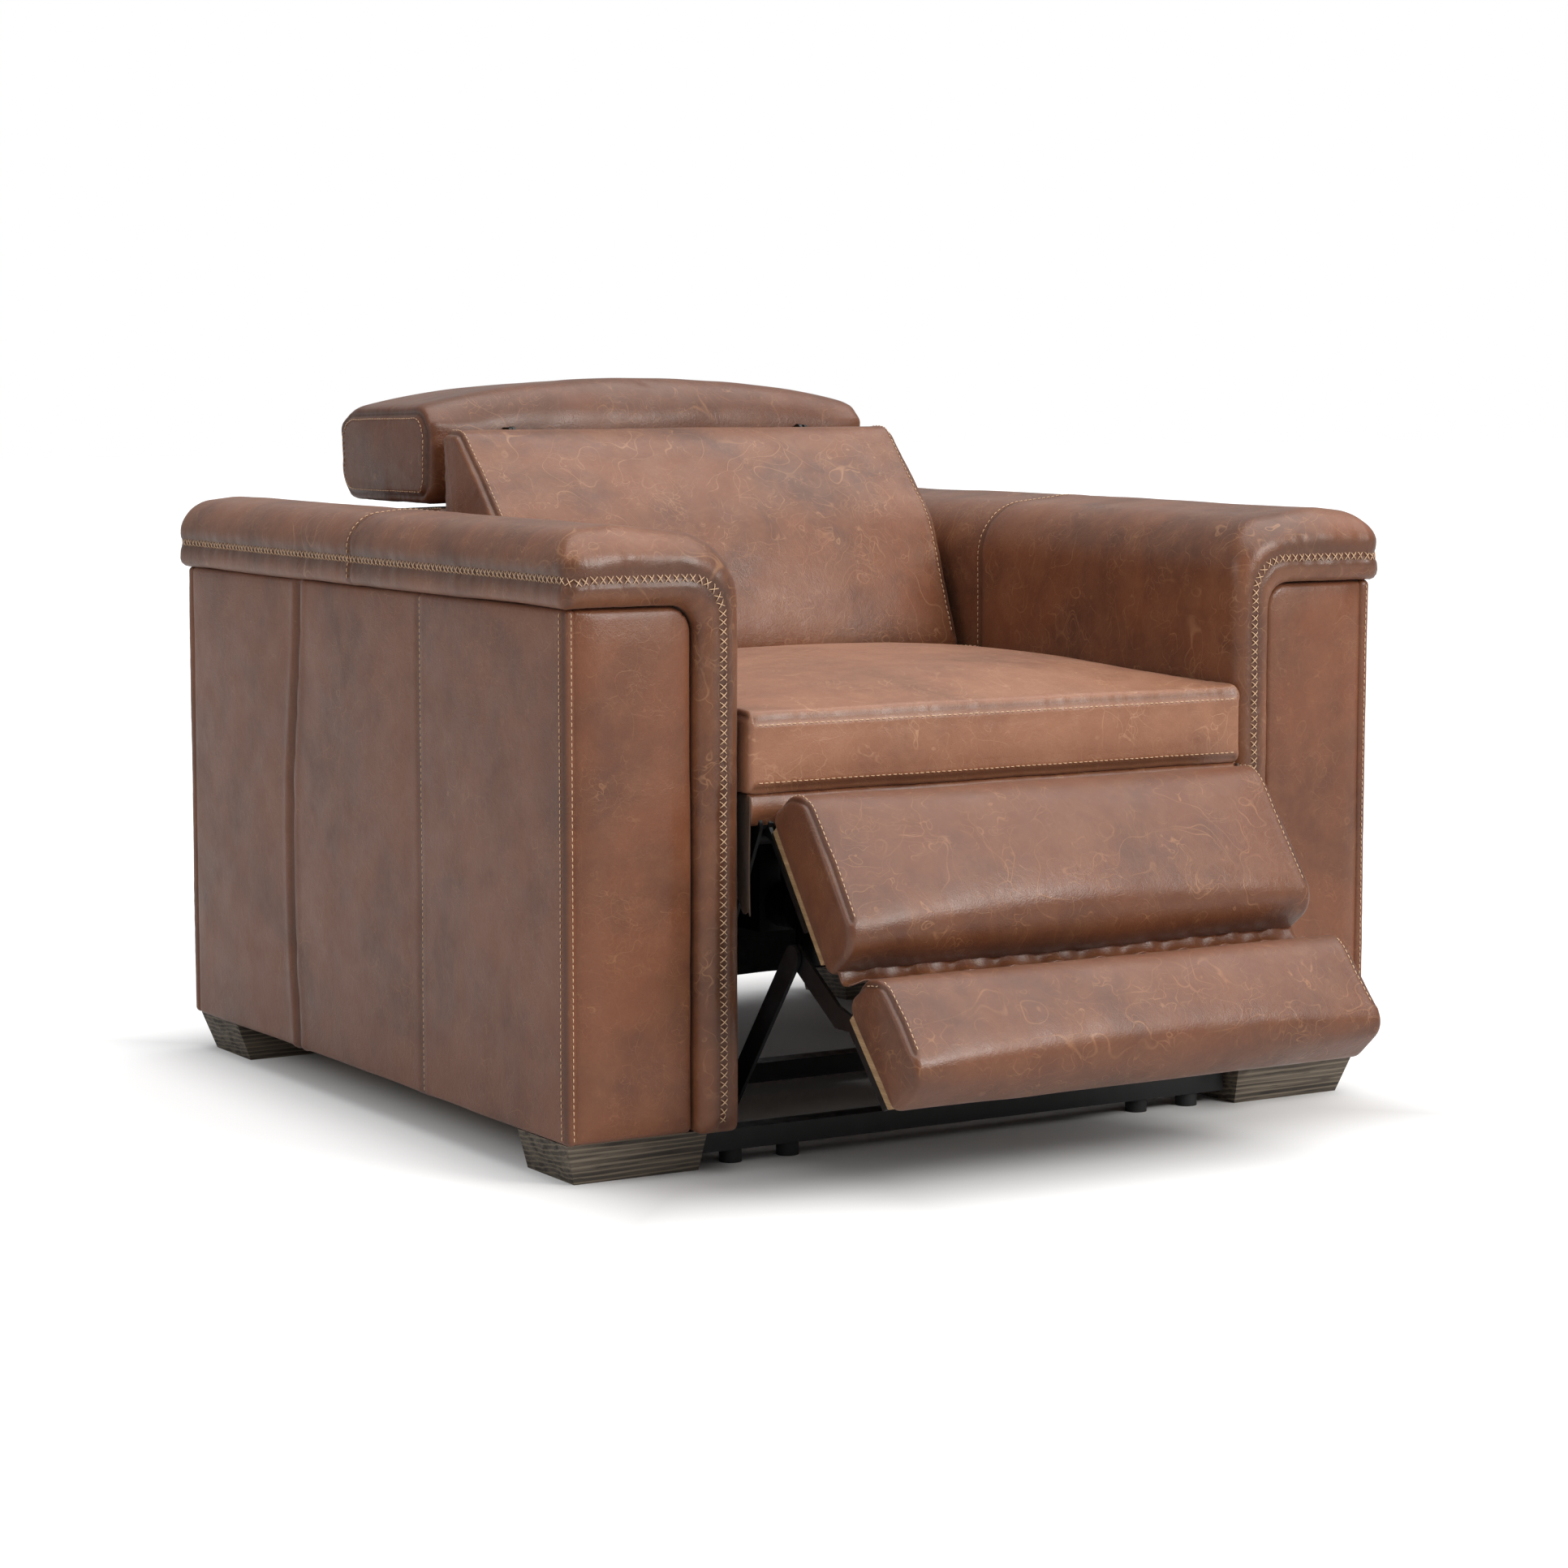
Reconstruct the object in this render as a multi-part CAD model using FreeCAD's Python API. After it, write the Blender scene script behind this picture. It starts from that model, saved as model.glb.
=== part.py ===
"""Power recliner armchair with box arms, a folding headrest and a two-pad footrest.

Frame: X across the chair (0 is the plane of symmetry), Y from front to back, Z up from the floor.
Depths in this file are measured back from the arms' front panels; place() moves them to the origin,
which is the middle of the chair's footprint.  The drawn pose is the rest pose: footrest half open,
back upright, headrest folded down.
"""
import FreeCAD
import Part

import math
import os

# ---------------------------------------------------------------- driving dimensions (mm)
FRONT_PLANE_Y = -351.0       # where the arms' front panels stand in the chair's own frame

ARM_OUTER_X = 530.0          # outer side panels
ARM_ROLL_X = 538.0           # arm top overhangs the side panel
ARM_INNER_X = 326.0          # inner face of the arm
ARM_PAD_X = 378.0            # where the front panel ends and the roll begins
ARM_BOTTOM_Z = 45.0
ARM_PAD_Z = 607.0            # underside of the arm top
ARM_CROWN_Z = 688.0
ARM_DEPTH = 998.0
ROLL_FRONT = -20.0           # the roll stands proud of the front panel
ROLL_REAR = 1011.0
SKIN = 14.0                  # padded leather on plywood
JOIN_GAP = 0.3               # between upholstered pieces that meet

FOOT_HEIGHT = 45.0
FOOT_SOLE = (360.0, 510.0, 21.0, 127.0)      # two X values, two depths
FOOT_HEAD = (356.0, 525.0, 8.0, 121.0)
FRAME_BOARD = 16.0

RAIL_BOTTOM_Z = 15.0
RAIL_TOP_Z = 38.0
RAIL_HALF_LENGTH = 350.0
FRONT_RAIL_DEPTHS = (30.0, 58.0)
REAR_RAIL_DEPTHS = (350.0, 378.0)
GLIDE_RADIUS = 12.5
GLIDE_X = (235.0, 307.0)

PLATE = 4.0                  # thickness of every pressed steel plate and link
BASE_PLATE_X = 316.0         # inner faces of the plates, from the arm inwards
SIDE_PLATE_X = 312.0
CARRIER_X = 306.0
SWING_LINK_X = 299.5
LOWER_LINK_X = 293.5
LOWER_BRACKET_X = 287.5
HANGER_X = 281.0
LINK_WIDTH = 26.0
PIN_RADIUS = 5.0
PIN_CLEARANCE = 0.4

# footrest linkage pivots (depth, height) in the rest pose
TORQUE_PIVOT = (60.0, 350.0)
REAR_LINK_OFFSET = 48.0
ELBOW_PIVOT = (60.7, 66.0)
CARRIER_PIVOT = (76.3, 200.0)
OPEN_PIVOT_CLEARANCE = 2.6
CRANK_LENGTH = 80.0

LOWER_PAD_CENTRE = (-250.0, 172.0)
LOWER_PAD_TILT = 42.0
UPPER_PAD_CENTRE = (-116.0, 317.0)
UPPER_PAD_TILT = 37.0
PAD_HALF_WIDTH = 305.0
PAD_BACK = 34.0
PAD_CROWN = -46.0
BOARD = 10.0

SEAT_DECK_Z = 372.0
DECK_TOP_Z = 400.0
CUSHION_BOTTOM_Z = 405.0
CUSHION_TOP_Z = 516.0
CUSHION_FRONT = -29.0
CUSHION_REAR = 512.0
CUSHION_HALF_WIDTH = 324.5
WIRE_RADIUS = 1.9

RECLINE_PIVOT = (700.0, 330.0)
RECLINE_LEVER_PIN = (720.0, 210.0)
BACK_HALF_WIDTH = 315.0
CUSHION_BACK_DEPTH = 729.0
UPRIGHT_DEPTHS = (735.0, 765.0)
BACK_BOTTOM_Z = 200.0
LEDGE_FRONT = 757.0
BACK_REAR = 1002.0

HEADREST_PIVOT = (745.0, 770.0)
HEADREST_HALF_WIDTH = 317.0
HEADREST_FRONT = 759.0
HEADREST_REAR = 1022.0
STRAP_X = 204.0
LUG_X = 210.0

BASE_PLATE_REAR = 640.0
INLET_X = 302.0
INLET_Z = 61.0
INLET_RADIUS = 6.0
INLET_BORE_LENGTH = 10.0

SWITCH_DEPTHS = (150.0, 258.0)
SWITCH_HEIGHTS = (556.0, 592.0)


# ---------------------------------------------------------------- shape helpers
def box(x0, x1, d0, d1, z0, z1):
    """A block between two X values, two depths and two heights."""
    size = (abs(x1 - x0), d1 - d0, z1 - z0)
    return Part.makeBox(*size, FreeCAD.Vector(min(x0, x1), d0, z0))


def rod_x(depth, height, x0, x1, radius):
    """A cylinder along X."""
    start = FreeCAD.Vector(min(x0, x1), depth, height)
    return Part.makeCylinder(radius, abs(x1 - x0), start, FreeCAD.Vector(1, 0, 0))


def rod_y(x, height, d0, d1, radius):
    """A cylinder from front to back."""
    return Part.makeCylinder(radius, d1 - d0, FreeCAD.Vector(x, d0, height), FreeCAD.Vector(0, 1, 0))


def rod_z(x, depth, z0, z1, radius):
    """An upright cylinder."""
    return Part.makeCylinder(radius, z1 - z0, FreeCAD.Vector(x, depth, z0))


def rounded_outline(corners, radii):
    """Closed wire in a plane: straight sides joined by tangent arcs at the corners."""
    count = len(corners)
    starts, middles, ends = [], [], []
    for index, (corner, radius) in enumerate(zip(corners, radii)):
        before = (corners[index - 1] - corner).normalize()
        after = (corners[(index + 1) % count] - corner).normalize()
        half = math.acos(max(-1.0, min(1.0, before.dot(after)))) / 2
        run = radius / math.tan(half)
        centre = corner + (before + after).normalize() * (radius / math.sin(half))
        starts.append(corner + before * run)
        middles.append(centre + (corner - centre).normalize() * radius)
        ends.append(corner + after * run)
    edges = []
    for index in range(count):
        edges.append(Part.Arc(starts[index], middles[index], ends[index]).toShape())
        following = (index + 1) % count
        if (starts[following] - ends[index]).Length > 1e-6:
            edges.append(Part.makeLine(ends[index], starts[following]))
    return Part.Wire(edges)


def side_profile(points, radii, x0, x1):
    """A (depth, height) outline with rounded corners, extruded along X."""
    corners = [FreeCAD.Vector(min(x0, x1), depth, height) for depth, height in points]
    face = Part.Face(rounded_outline(corners, radii))
    return face.extrude(FreeCAD.Vector(abs(x1 - x0), 0, 0))


def front_profile(points, radii, d0, d1):
    """An (x, height) outline with rounded corners, extruded from front to back."""
    corners = [FreeCAD.Vector(x, d0, height) for x, height in points]
    face = Part.Face(rounded_outline(corners, radii))
    return face.extrude(FreeCAD.Vector(0, d1 - d0, 0))


def plate(points, x_inner, side, radius=8.0, thickness=PLATE):
    """A pressed plate in a (depth, height) plane on one side of the chair."""
    radii = [radius] * len(points)
    return side_profile(points, radii, side * x_inner, side * (x_inner + thickness))


def link(first, second, x_inner, side, width=LINK_WIDTH):
    """A flat bar with round ends between two pivots."""
    length = math.hypot(second[0] - first[0], second[1] - first[1])
    along = ((second[0] - first[0]) / length, (second[1] - first[1]) / length)
    across = (-along[1] * width / 2, along[0] * width / 2)
    points = [
        (first[0] + across[0], first[1] + across[1]),
        (second[0] + across[0], second[1] + across[1]),
        (second[0] - across[0], second[1] - across[1]),
        (first[0] - across[0], first[1] - across[1]),
    ]
    x0, x1 = side * x_inner, side * (x_inner + PLATE)
    corners = [FreeCAD.Vector(min(x0, x1), depth, height) for depth, height in points]
    bar = Part.Face(Part.makePolygon(corners + corners[:1])).extrude(FreeCAD.Vector(PLATE, 0, 0))
    for end in (first, second):
        bar = bar.fuse(rod_x(end[0], end[1], x0, x1, width / 2))
    return bar.removeSplitter()


def pin(pivot, x_from, x_to, side, radius=PIN_RADIUS, head=2.0):
    """A rivet along X with a flat head on its inner end."""
    body = rod_x(pivot[0], pivot[1], side * x_from, side * x_to, radius)
    cap = rod_x(pivot[0], pivot[1], side * (x_from - head), side * x_from, radius + 3)
    return body.fuse(cap)


def hole(pivot, x_from, x_to, side, clearance=PIN_CLEARANCE, radius=PIN_RADIUS):
    """The space a pin turns in."""
    return rod_x(pivot[0], pivot[1], side * (x_from - 1), side * (x_to + 1), radius + clearance)


def pad_point(centre, tilt, along, behind):
    """A point of a footrest pad: so far up the pad, and so far behind its middle plane."""
    angle = math.radians(tilt)
    depth = centre[0] + along * math.sin(angle) + behind * math.cos(angle)
    height = centre[1] + along * math.cos(angle) - behind * math.sin(angle)
    return depth, height


def both(make):
    """The same piece on the chair's left and right, as one group of solids."""
    return Part.makeCompound([make(-1), make(1)])


def wire(points, radius):
    """A bent spring wire through a list of points."""
    shape = None
    for start, end in zip(points, points[1:]):
        run = end - start
        piece = Part.makeCylinder(radius, run.Length, start, run)
        shape = piece if shape is None else shape.fuse(piece)
        shape = shape.fuse(Part.makeSphere(radius, end))
    return shape


def place(shape):
    """Move a shape from depths behind the front panels to the chair's own frame."""
    moved = shape.copy()
    moved.translate(FreeCAD.Vector(0, FRONT_PLANE_Y, 0))
    return moved


NODES = {}


def add(name, shape):
    NODES[name] = shape


# ---------------------------------------------------------------- feet and arms
def rectangle(x0, x1, d0, d1, z):
    points = [(x0, d0), (x1, d0), (x1, d1), (x0, d1), (x0, d0)]
    return Part.makePolygon([FreeCAD.Vector(x, d, z) for x, d in points])


def foot(side, rear):
    """Block that narrows towards the floor on its two outer faces."""
    wires = []
    for (x0, x1, d0, d1), z in ((FOOT_SOLE, 0.0), (FOOT_HEAD, FOOT_HEIGHT)):
        if rear:
            d0, d1 = ARM_DEPTH - d1, ARM_DEPTH - d0
        low, high = sorted((side * x0, side * x1))
        wires.append(rectangle(low, high, d0, d1, z))
    return Part.makeLoft(wires, True, True)


def arm_frame(side):
    """Plywood box frame with windows, inside one arm."""
    x0, x1 = side * (ARM_PAD_X + 1), side * (ARM_OUTER_X - SKIN - 0.5)
    d0, d1 = SKIN + 0.5, ARM_DEPTH - SKIN - 0.5
    z0, z1 = ARM_BOTTOM_Z, ARM_PAD_Z - 0.5
    low, high = sorted((x0, x1))
    shell = box(low, high, d0, d1, z0, z1)
    shell = shell.cut(box(low + FRAME_BOARD, high - FRAME_BOARD, d0 + FRAME_BOARD, d1 - FRAME_BOARD,
                          z0 + FRAME_BOARD, z1 - FRAME_BOARD))
    window_length, post, border = 260.0, 40.0, 70.0
    for index in range(3):
        start = d0 + 60.0 + index * (window_length + post)
        shell = shell.cut(box(low - 1, high + 1, start, start + window_length, z0 + border, z1 - border))
    return shell


def side_panel(side):
    """Outer panel with a rounded lower rear corner."""
    x0, x1 = side * (ARM_OUTER_X - SKIN), side * ARM_OUTER_X
    rear = ARM_DEPTH - SKIN - JOIN_GAP
    points = [(0.0, ARM_BOTTOM_Z), (rear, ARM_BOTTOM_Z), (rear, ARM_PAD_Z - JOIN_GAP),
              (0.0, ARM_PAD_Z - JOIN_GAP)]
    return side_profile(points, [2.0, 12.0, 2.0, 2.0], x0, x1)


def front_panel(side):
    x0, x1 = side * (ARM_PAD_X + JOIN_GAP), side * (ARM_OUTER_X - SKIN - JOIN_GAP)
    return box(x0, x1, 0.0, SKIN, ARM_BOTTOM_Z, ARM_PAD_Z - JOIN_GAP)


def rear_panel(side):
    x0, x1 = side * (ARM_PAD_X + JOIN_GAP), side * ARM_OUTER_X
    return box(x0, x1, ARM_DEPTH - SKIN, ARM_DEPTH, ARM_BOTTOM_Z, ARM_PAD_Z - JOIN_GAP)


def arm_top_pad(side):
    """Crowned pad over the arm, thick at the outside and rolling down to the inner face."""
    points = [(side * ARM_INNER_X, ARM_PAD_Z), (side * ARM_INNER_X, ARM_CROWN_Z - 4),
              (side * ARM_ROLL_X, ARM_CROWN_Z), (side * ARM_ROLL_X, ARM_PAD_Z)]
    return front_profile(points, [2.0, 62.0, 34.0, 10.0], ROLL_FRONT, ROLL_REAR)


def arm_inner_pad(side):
    """Padded inner face of the arm, whose front edge is the roll beside the front panel."""
    x0, x1 = side * ARM_INNER_X, side * ARM_PAD_X
    shape = box(x0, x1, ROLL_FRONT, ROLL_REAR, ARM_BOTTOM_Z, ARM_PAD_Z - JOIN_GAP)
    if side < 0:
        shape = shape.cut(box(x0 - 12, x0 + 1, *SWITCH_DEPTHS, *SWITCH_HEIGHTS))
    return shape


def make_arms():
    for side, name in ((-1, "left"), (1, "right")):
        add("foot_front_" + name, foot(side, False))
        add("foot_rear_" + name, foot(side, True))
        add("side_panel_" + name, side_panel(side))
        add("front_panel_" + name, front_panel(side))
        add("arm_top_pad_" + name, arm_top_pad(side))
        add("arm_inner_pad_" + name, arm_inner_pad(side))
    add("arm_frames", both(arm_frame))
    add("arm_rear_panels", both(rear_panel))


def make_switches():
    """Bezel let into the left arm's inner face, with three rocker keys."""
    d0, d1 = SWITCH_DEPTHS
    z0, z1 = SWITCH_HEIGHTS
    back, front = -ARM_INNER_X - 11.5, -ARM_INNER_X + 3.0
    bezel = box(back, front, d0 + 0.5, d1 - 0.5, z0 + 0.5, z1 - 0.5)
    key_length, key_height, pitch = 26.0, 20.0, 34.0
    axle, axle_half, play = 1.5, 13.0, 1.0
    floor = 3.5
    middle_z = (z0 + z1) / 2
    for index, name in enumerate(("footrest_rocker", "recline_rocker", "headrest_rocker")):
        middle = (d0 + d1) / 2 + (index - 1) * pitch
        window = (middle - key_length / 2 - play, middle + key_length / 2 + play)
        heights = (middle_z - key_height / 2 - play, middle_z + key_height / 2 + play)
        bezel = bezel.cut(box(back + floor, front + 1, *window, *heights))
        axis_x = -ARM_INNER_X - 3.0
        key = side_profile(
            [(middle - key_length / 2, middle_z - key_height / 2),
             (middle + key_length / 2, middle_z - key_height / 2),
             (middle + key_length / 2, middle_z + key_height / 2),
             (middle - key_length / 2, middle_z + key_height / 2)],
            [2.0] * 4, axis_x - 2.0, front + 2.5)
        key = key.fuse(rod_z(axis_x, middle, middle_z - axle_half, middle_z + axle_half, axle))
        bezel = bezel.cut(rod_z(axis_x, middle, middle_z - axle_half - 0.5,
                                   middle_z + axle_half + 0.5, axle + 0.06))
        add(name, key)
    add("switch_bezel", bezel)


# ---------------------------------------------------------------- fixed steel base
def base_plate(side):
    """Long foot bar with three uprights that carry the seat side plate."""
    foot_bar = plate([(32, RAIL_TOP_Z), (BASE_PLATE_REAR, RAIL_TOP_Z), (BASE_PLATE_REAR, 84), (32, 84)],
                     BASE_PLATE_X, side, 6.0)
    nose = plate([(36, 60), (92, 60), (112, 322), (62, 322)], BASE_PLATE_X, side)
    front = plate([(150, 60), (214, 60), (236, 338), (180, 338)], BASE_PLATE_X, side)
    rear = plate([(540, 60), (622, 60), (622, 350), (560, 350)], BASE_PLATE_X, side)
    return foot_bar.fuse([nose, front, rear]).removeSplitter()


def seat_side_plate(side):
    """Mechanism side plate: nose for the carrier pivot, tail for the recline pivot."""
    points = [(58, 182), (96, 182), (190, 300), (560, 312), (676, 306), (724, 306), (724, 354),
              (690, SEAT_DECK_Z), (62, SEAT_DECK_Z), (50, 300)]
    shape = plate(points, SIDE_PLATE_X, side)
    span = (SIDE_PLATE_X, SIDE_PLATE_X + PLATE)
    for pivot in (CARRIER_PIVOT, RECLINE_PIVOT):
        shape = shape.cut(hole(pivot, *span, side))
    return shape


def hanger(side):
    """Inner hanger under the seat deck that carries the torque tube and the rear link."""
    rear_pivot = (TORQUE_PIVOT[0] + REAR_LINK_OFFSET, TORQUE_PIVOT[1])
    points = [(44, 334), (124, 334), (124, SEAT_DECK_Z), (62, SEAT_DECK_Z), (44, 362)]
    shape = plate(points, HANGER_X, side, 5.0)
    shape = shape.cut(hole(TORQUE_PIVOT, HANGER_X, HANGER_X + PLATE, side, radius=10.0))
    return shape.cut(hole(rear_pivot, HANGER_X, HANGER_X + PLATE, side))


def arm_bracket(side, depth):
    """Angle that bolts the base plate to the arm frame."""
    upright = box(side * (BASE_PLATE_X + PLATE), side * (BASE_PLATE_X + 2 * PLATE), depth, depth + 40, 41, 84)
    shelf = box(side * (BASE_PLATE_X + PLATE), side * 440, depth, depth + 40, 41, ARM_BOTTOM_Z)
    return upright.fuse(shelf).removeSplitter()


def hex_head(x, depth, z0, z1, radius):
    points = []
    for corner in range(7):
        angle = math.radians(60 * corner)
        points.append(FreeCAD.Vector(x + radius * math.cos(angle), depth + radius * math.sin(angle), z0))
    return Part.Face(Part.makePolygon(points)).extrude(FreeCAD.Vector(0, 0, z1 - z0))


BRACKET_DEPTHS = (240.0, 580.0)


def make_base():
    rails = [box(-RAIL_HALF_LENGTH, RAIL_HALF_LENGTH, d0, d1, RAIL_BOTTOM_Z, RAIL_TOP_Z)
             for d0, d1 in (FRONT_RAIL_DEPTHS, REAR_RAIL_DEPTHS)]
    add("base_cross_rails", Part.makeCompound(rails))
    middle = sum(FRONT_RAIL_DEPTHS) / 2
    rear_middle = sum(REAR_RAIL_DEPTHS) / 2
    glides = [rod_z(side * x, depth, 0.0, RAIL_BOTTOM_Z, GLIDE_RADIUS)
              for side in (-1, 1) for x in GLIDE_X for depth in (middle, rear_middle)]
    add("base_glides", Part.makeCompound(glides))
    add("base_plates", both(base_plate))
    add("seat_side_plates", both(seat_side_plate))
    add("torque_tube_hangers", both(hanger))
    brackets = [arm_bracket(side, depth) for side in (-1, 1) for depth in BRACKET_DEPTHS]
    add("arm_brackets", Part.makeCompound(brackets))
    bolts = [hex_head(side * 405, depth + 20, 35.5, 41, 8.0) for side in (-1, 1) for depth in BRACKET_DEPTHS]
    add("bracket_bolts", Part.makeCompound(bolts))


# ---------------------------------------------------------------- seat
FOOTREST_TUBE = (365.0, 318.0)
RECLINE_TUBE = (470.0, 330.0)


def make_seat():
    inner = SIDE_PLATE_X
    outer_frame = box(-inner, inner, 62, CUSHION_REAR, SEAT_DECK_Z, DECK_TOP_Z)
    rail = 30.0
    opening = box(-inner + rail, inner - rail, 62 + rail, CUSHION_REAR - rail, SEAT_DECK_Z - 1, DECK_TOP_Z + 1)
    add("seat_deck_frame", outer_frame.cut(opening))
    add("seat_front_board", box(-311, 311, -18, 61.5, 401.8, 404.8))

    springs = []
    steps = 12
    for row in range(5):
        x = (row - 2) * 104.0
        points = []
        for step in range(steps + 1):
            swing = 0.0 if step in (0, steps) else (18.0 if step % 2 else -18.0)
            depth = 78 + (CUSHION_REAR - 94) * step / steps
            points.append(FreeCAD.Vector(x + swing, depth, DECK_TOP_Z + WIRE_RADIUS))
        springs.append(wire(points, WIRE_RADIUS))
    add("seat_springs", Part.makeCompound(springs))

    points = [(CUSHION_FRONT, CUSHION_BOTTOM_Z), (CUSHION_REAR, CUSHION_BOTTOM_Z),
              (CUSHION_REAR, CUSHION_TOP_Z), (CUSHION_FRONT, CUSHION_TOP_Z - 8)]
    add("seat_cushion", side_profile(points, [8.0, 8.0, 26.0, 34.0], -CUSHION_HALF_WIDTH, CUSHION_HALF_WIDTH))
    add("seat_front_flap", both(lambda side: box(side * 317.5, side * 323.5, -12, -6, 285, 404)))
    tubes = [rod_x(*FOOTREST_TUBE, -SIDE_PLATE_X, SIDE_PLATE_X, 12.5),
             rod_x(*RECLINE_TUBE, -SIDE_PLATE_X, SIDE_PLATE_X, 12.5)]
    add("seat_cross_tubes", Part.makeCompound(tubes))


# ---------------------------------------------------------------- footrest
def pad(centre, tilt, low, high, front_radii):
    """Plain padded block of a footrest pad, crowned side forward."""
    outline = [(low, PAD_BACK), (high, PAD_BACK), (high, PAD_CROWN), (low, PAD_CROWN)]
    points = [pad_point(centre, tilt, along, behind) for along, behind in outline]
    radii = [12.0, 12.0, front_radii[1], front_radii[0]]
    return side_profile(points, radii, -PAD_HALF_WIDTH, PAD_HALF_WIDTH)


def pad_board(centre, tilt, low, high):
    outline = [(low, PAD_BACK), (high, PAD_BACK), (high, PAD_BACK + BOARD), (low, PAD_BACK + BOARD)]
    points = [pad_point(centre, tilt, along, behind) for along, behind in outline]
    return side_profile(points, [1.0] * 4, -PAD_HALF_WIDTH + 10, PAD_HALF_WIDTH - 10)


LOWER_BRACKET_PIVOT = pad_point(LOWER_PAD_CENTRE, LOWER_PAD_TILT, 170.0, 92.9)
CARRIER_TIP = pad_point(UPPER_PAD_CENTRE, UPPER_PAD_TILT, 105.0, 50.0)
REAR_ELBOW = (ELBOW_PIVOT[0] + REAR_LINK_OFFSET, ELBOW_PIVOT[1])
REAR_PIVOT = (TORQUE_PIVOT[0] + REAR_LINK_OFFSET, TORQUE_PIVOT[1])


def lower_bracket(side):
    """Arm from the lower link's end down to the lower pad's board."""
    outline = [(-46, 44), (62, 44), (84, 58), (182, 84), (170, 106), (70, 78), (52, 58), (-46, 58)]
    points = [pad_point(LOWER_PAD_CENTRE, LOWER_PAD_TILT, along, behind) for along, behind in outline]
    shape = plate(points, LOWER_BRACKET_X, side, 3.0)
    x0, x1 = side * LOWER_BRACKET_X, side * (LOWER_BRACKET_X + PLATE)
    shape = shape.fuse(rod_x(*LOWER_BRACKET_PIVOT, x0, x1, LINK_WIDTH / 2 - 1))
    return shape.cut(hole(LOWER_BRACKET_PIVOT, LOWER_BRACKET_X, LOWER_BRACKET_X + PLATE, side)).removeSplitter()


def upper_bracket(side):
    """Ear and strip on the back of the upper pad's board."""
    outline = [(-28, 44), (96, 44), (96, 50), (-28, 50)]
    points = [pad_point(UPPER_PAD_CENTRE, UPPER_PAD_TILT, along, behind) for along, behind in outline]
    shape = plate(points, LOWER_LINK_X, side, 1.0)
    ear = [(78, 44), (114, 44), (112, 57), (98, 58)]
    ear_points = [pad_point(UPPER_PAD_CENTRE, UPPER_PAD_TILT, along, behind) for along, behind in ear]
    shape = shape.fuse(plate(ear_points, LOWER_LINK_X, side, 2.0))
    x0, x1 = side * LOWER_LINK_X, side * (LOWER_LINK_X + PLATE)
    shape = shape.fuse(rod_x(*CARRIER_TIP, x0, x1, 9.0))
    return shape.cut(hole(CARRIER_TIP, LOWER_LINK_X, LOWER_LINK_X + PLATE, side)).removeSplitter()


def front_link(side):
    """Swing link on the torque tube, with the elbow pin at its lower end."""
    shape = link(TORQUE_PIVOT, ELBOW_PIVOT, SWING_LINK_X, side)
    return shape.fuse(pin(ELBOW_PIVOT, LOWER_LINK_X - 0.5, SWING_LINK_X + PLATE, side))


def rear_link(side):
    """Follower link beside the front link, with its own pins."""
    shape = link(REAR_PIVOT, REAR_ELBOW, SWING_LINK_X, side)
    shape = shape.fuse(pin(REAR_PIVOT, HANGER_X - 0.5, SWING_LINK_X + PLATE, side))
    return shape.fuse(rod_x(*REAR_ELBOW, side * LOWER_LINK_X, side * (SWING_LINK_X + PLATE), 4.0))


def lower_link(side):
    """Bent link from the rear elbow past the elbow to the lower bracket."""
    shape = link(ELBOW_PIVOT, LOWER_BRACKET_PIVOT, LOWER_LINK_X, side)
    shape = shape.fuse(link(ELBOW_PIVOT, REAR_ELBOW, LOWER_LINK_X, side)).removeSplitter()
    span = (LOWER_LINK_X, LOWER_LINK_X + PLATE)
    shape = shape.cut(hole(ELBOW_PIVOT, *span, side))
    shape = shape.cut(hole(REAR_ELBOW, *span, side, clearance=OPEN_PIVOT_CLEARANCE, radius=4.0))
    return shape.fuse(pin(LOWER_BRACKET_PIVOT, LOWER_BRACKET_X - 0.5, LOWER_LINK_X + PLATE, side))


def carrier(side):
    """Link that carries the top of the upper pad from the side plate's nose."""
    shape = link(CARRIER_PIVOT, CARRIER_TIP, CARRIER_X, side, 22.0)
    shape = shape.fuse(rod_x(*CARRIER_PIVOT, side * CARRIER_X, side * (SIDE_PLATE_X + PLATE), PIN_RADIUS))
    return shape.fuse(pin(CARRIER_TIP, LOWER_LINK_X - 0.5, CARRIER_X + PLATE, side))


def torque_tube():
    tube = rod_x(*TORQUE_PIVOT, -SWING_LINK_X - PLATE, SWING_LINK_X + PLATE, 10.0)
    crank_end = (TORQUE_PIVOT[0], TORQUE_PIVOT[1] - CRANK_LENGTH)
    corners = [(TORQUE_PIVOT[0] - 14, TORQUE_PIVOT[1]), (TORQUE_PIVOT[0] + 14, TORQUE_PIVOT[1]),
               (crank_end[0] + 9, crank_end[1] - 9), (crank_end[0] - 9, crank_end[1] - 9)]
    crank = side_profile(corners, [3.0, 3.0, 8.0, 8.0], -5, 5)
    cross_pin = rod_x(*crank_end, -17, 17, PIN_RADIUS)
    return tube.fuse([crank, cross_pin]).removeSplitter()


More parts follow.
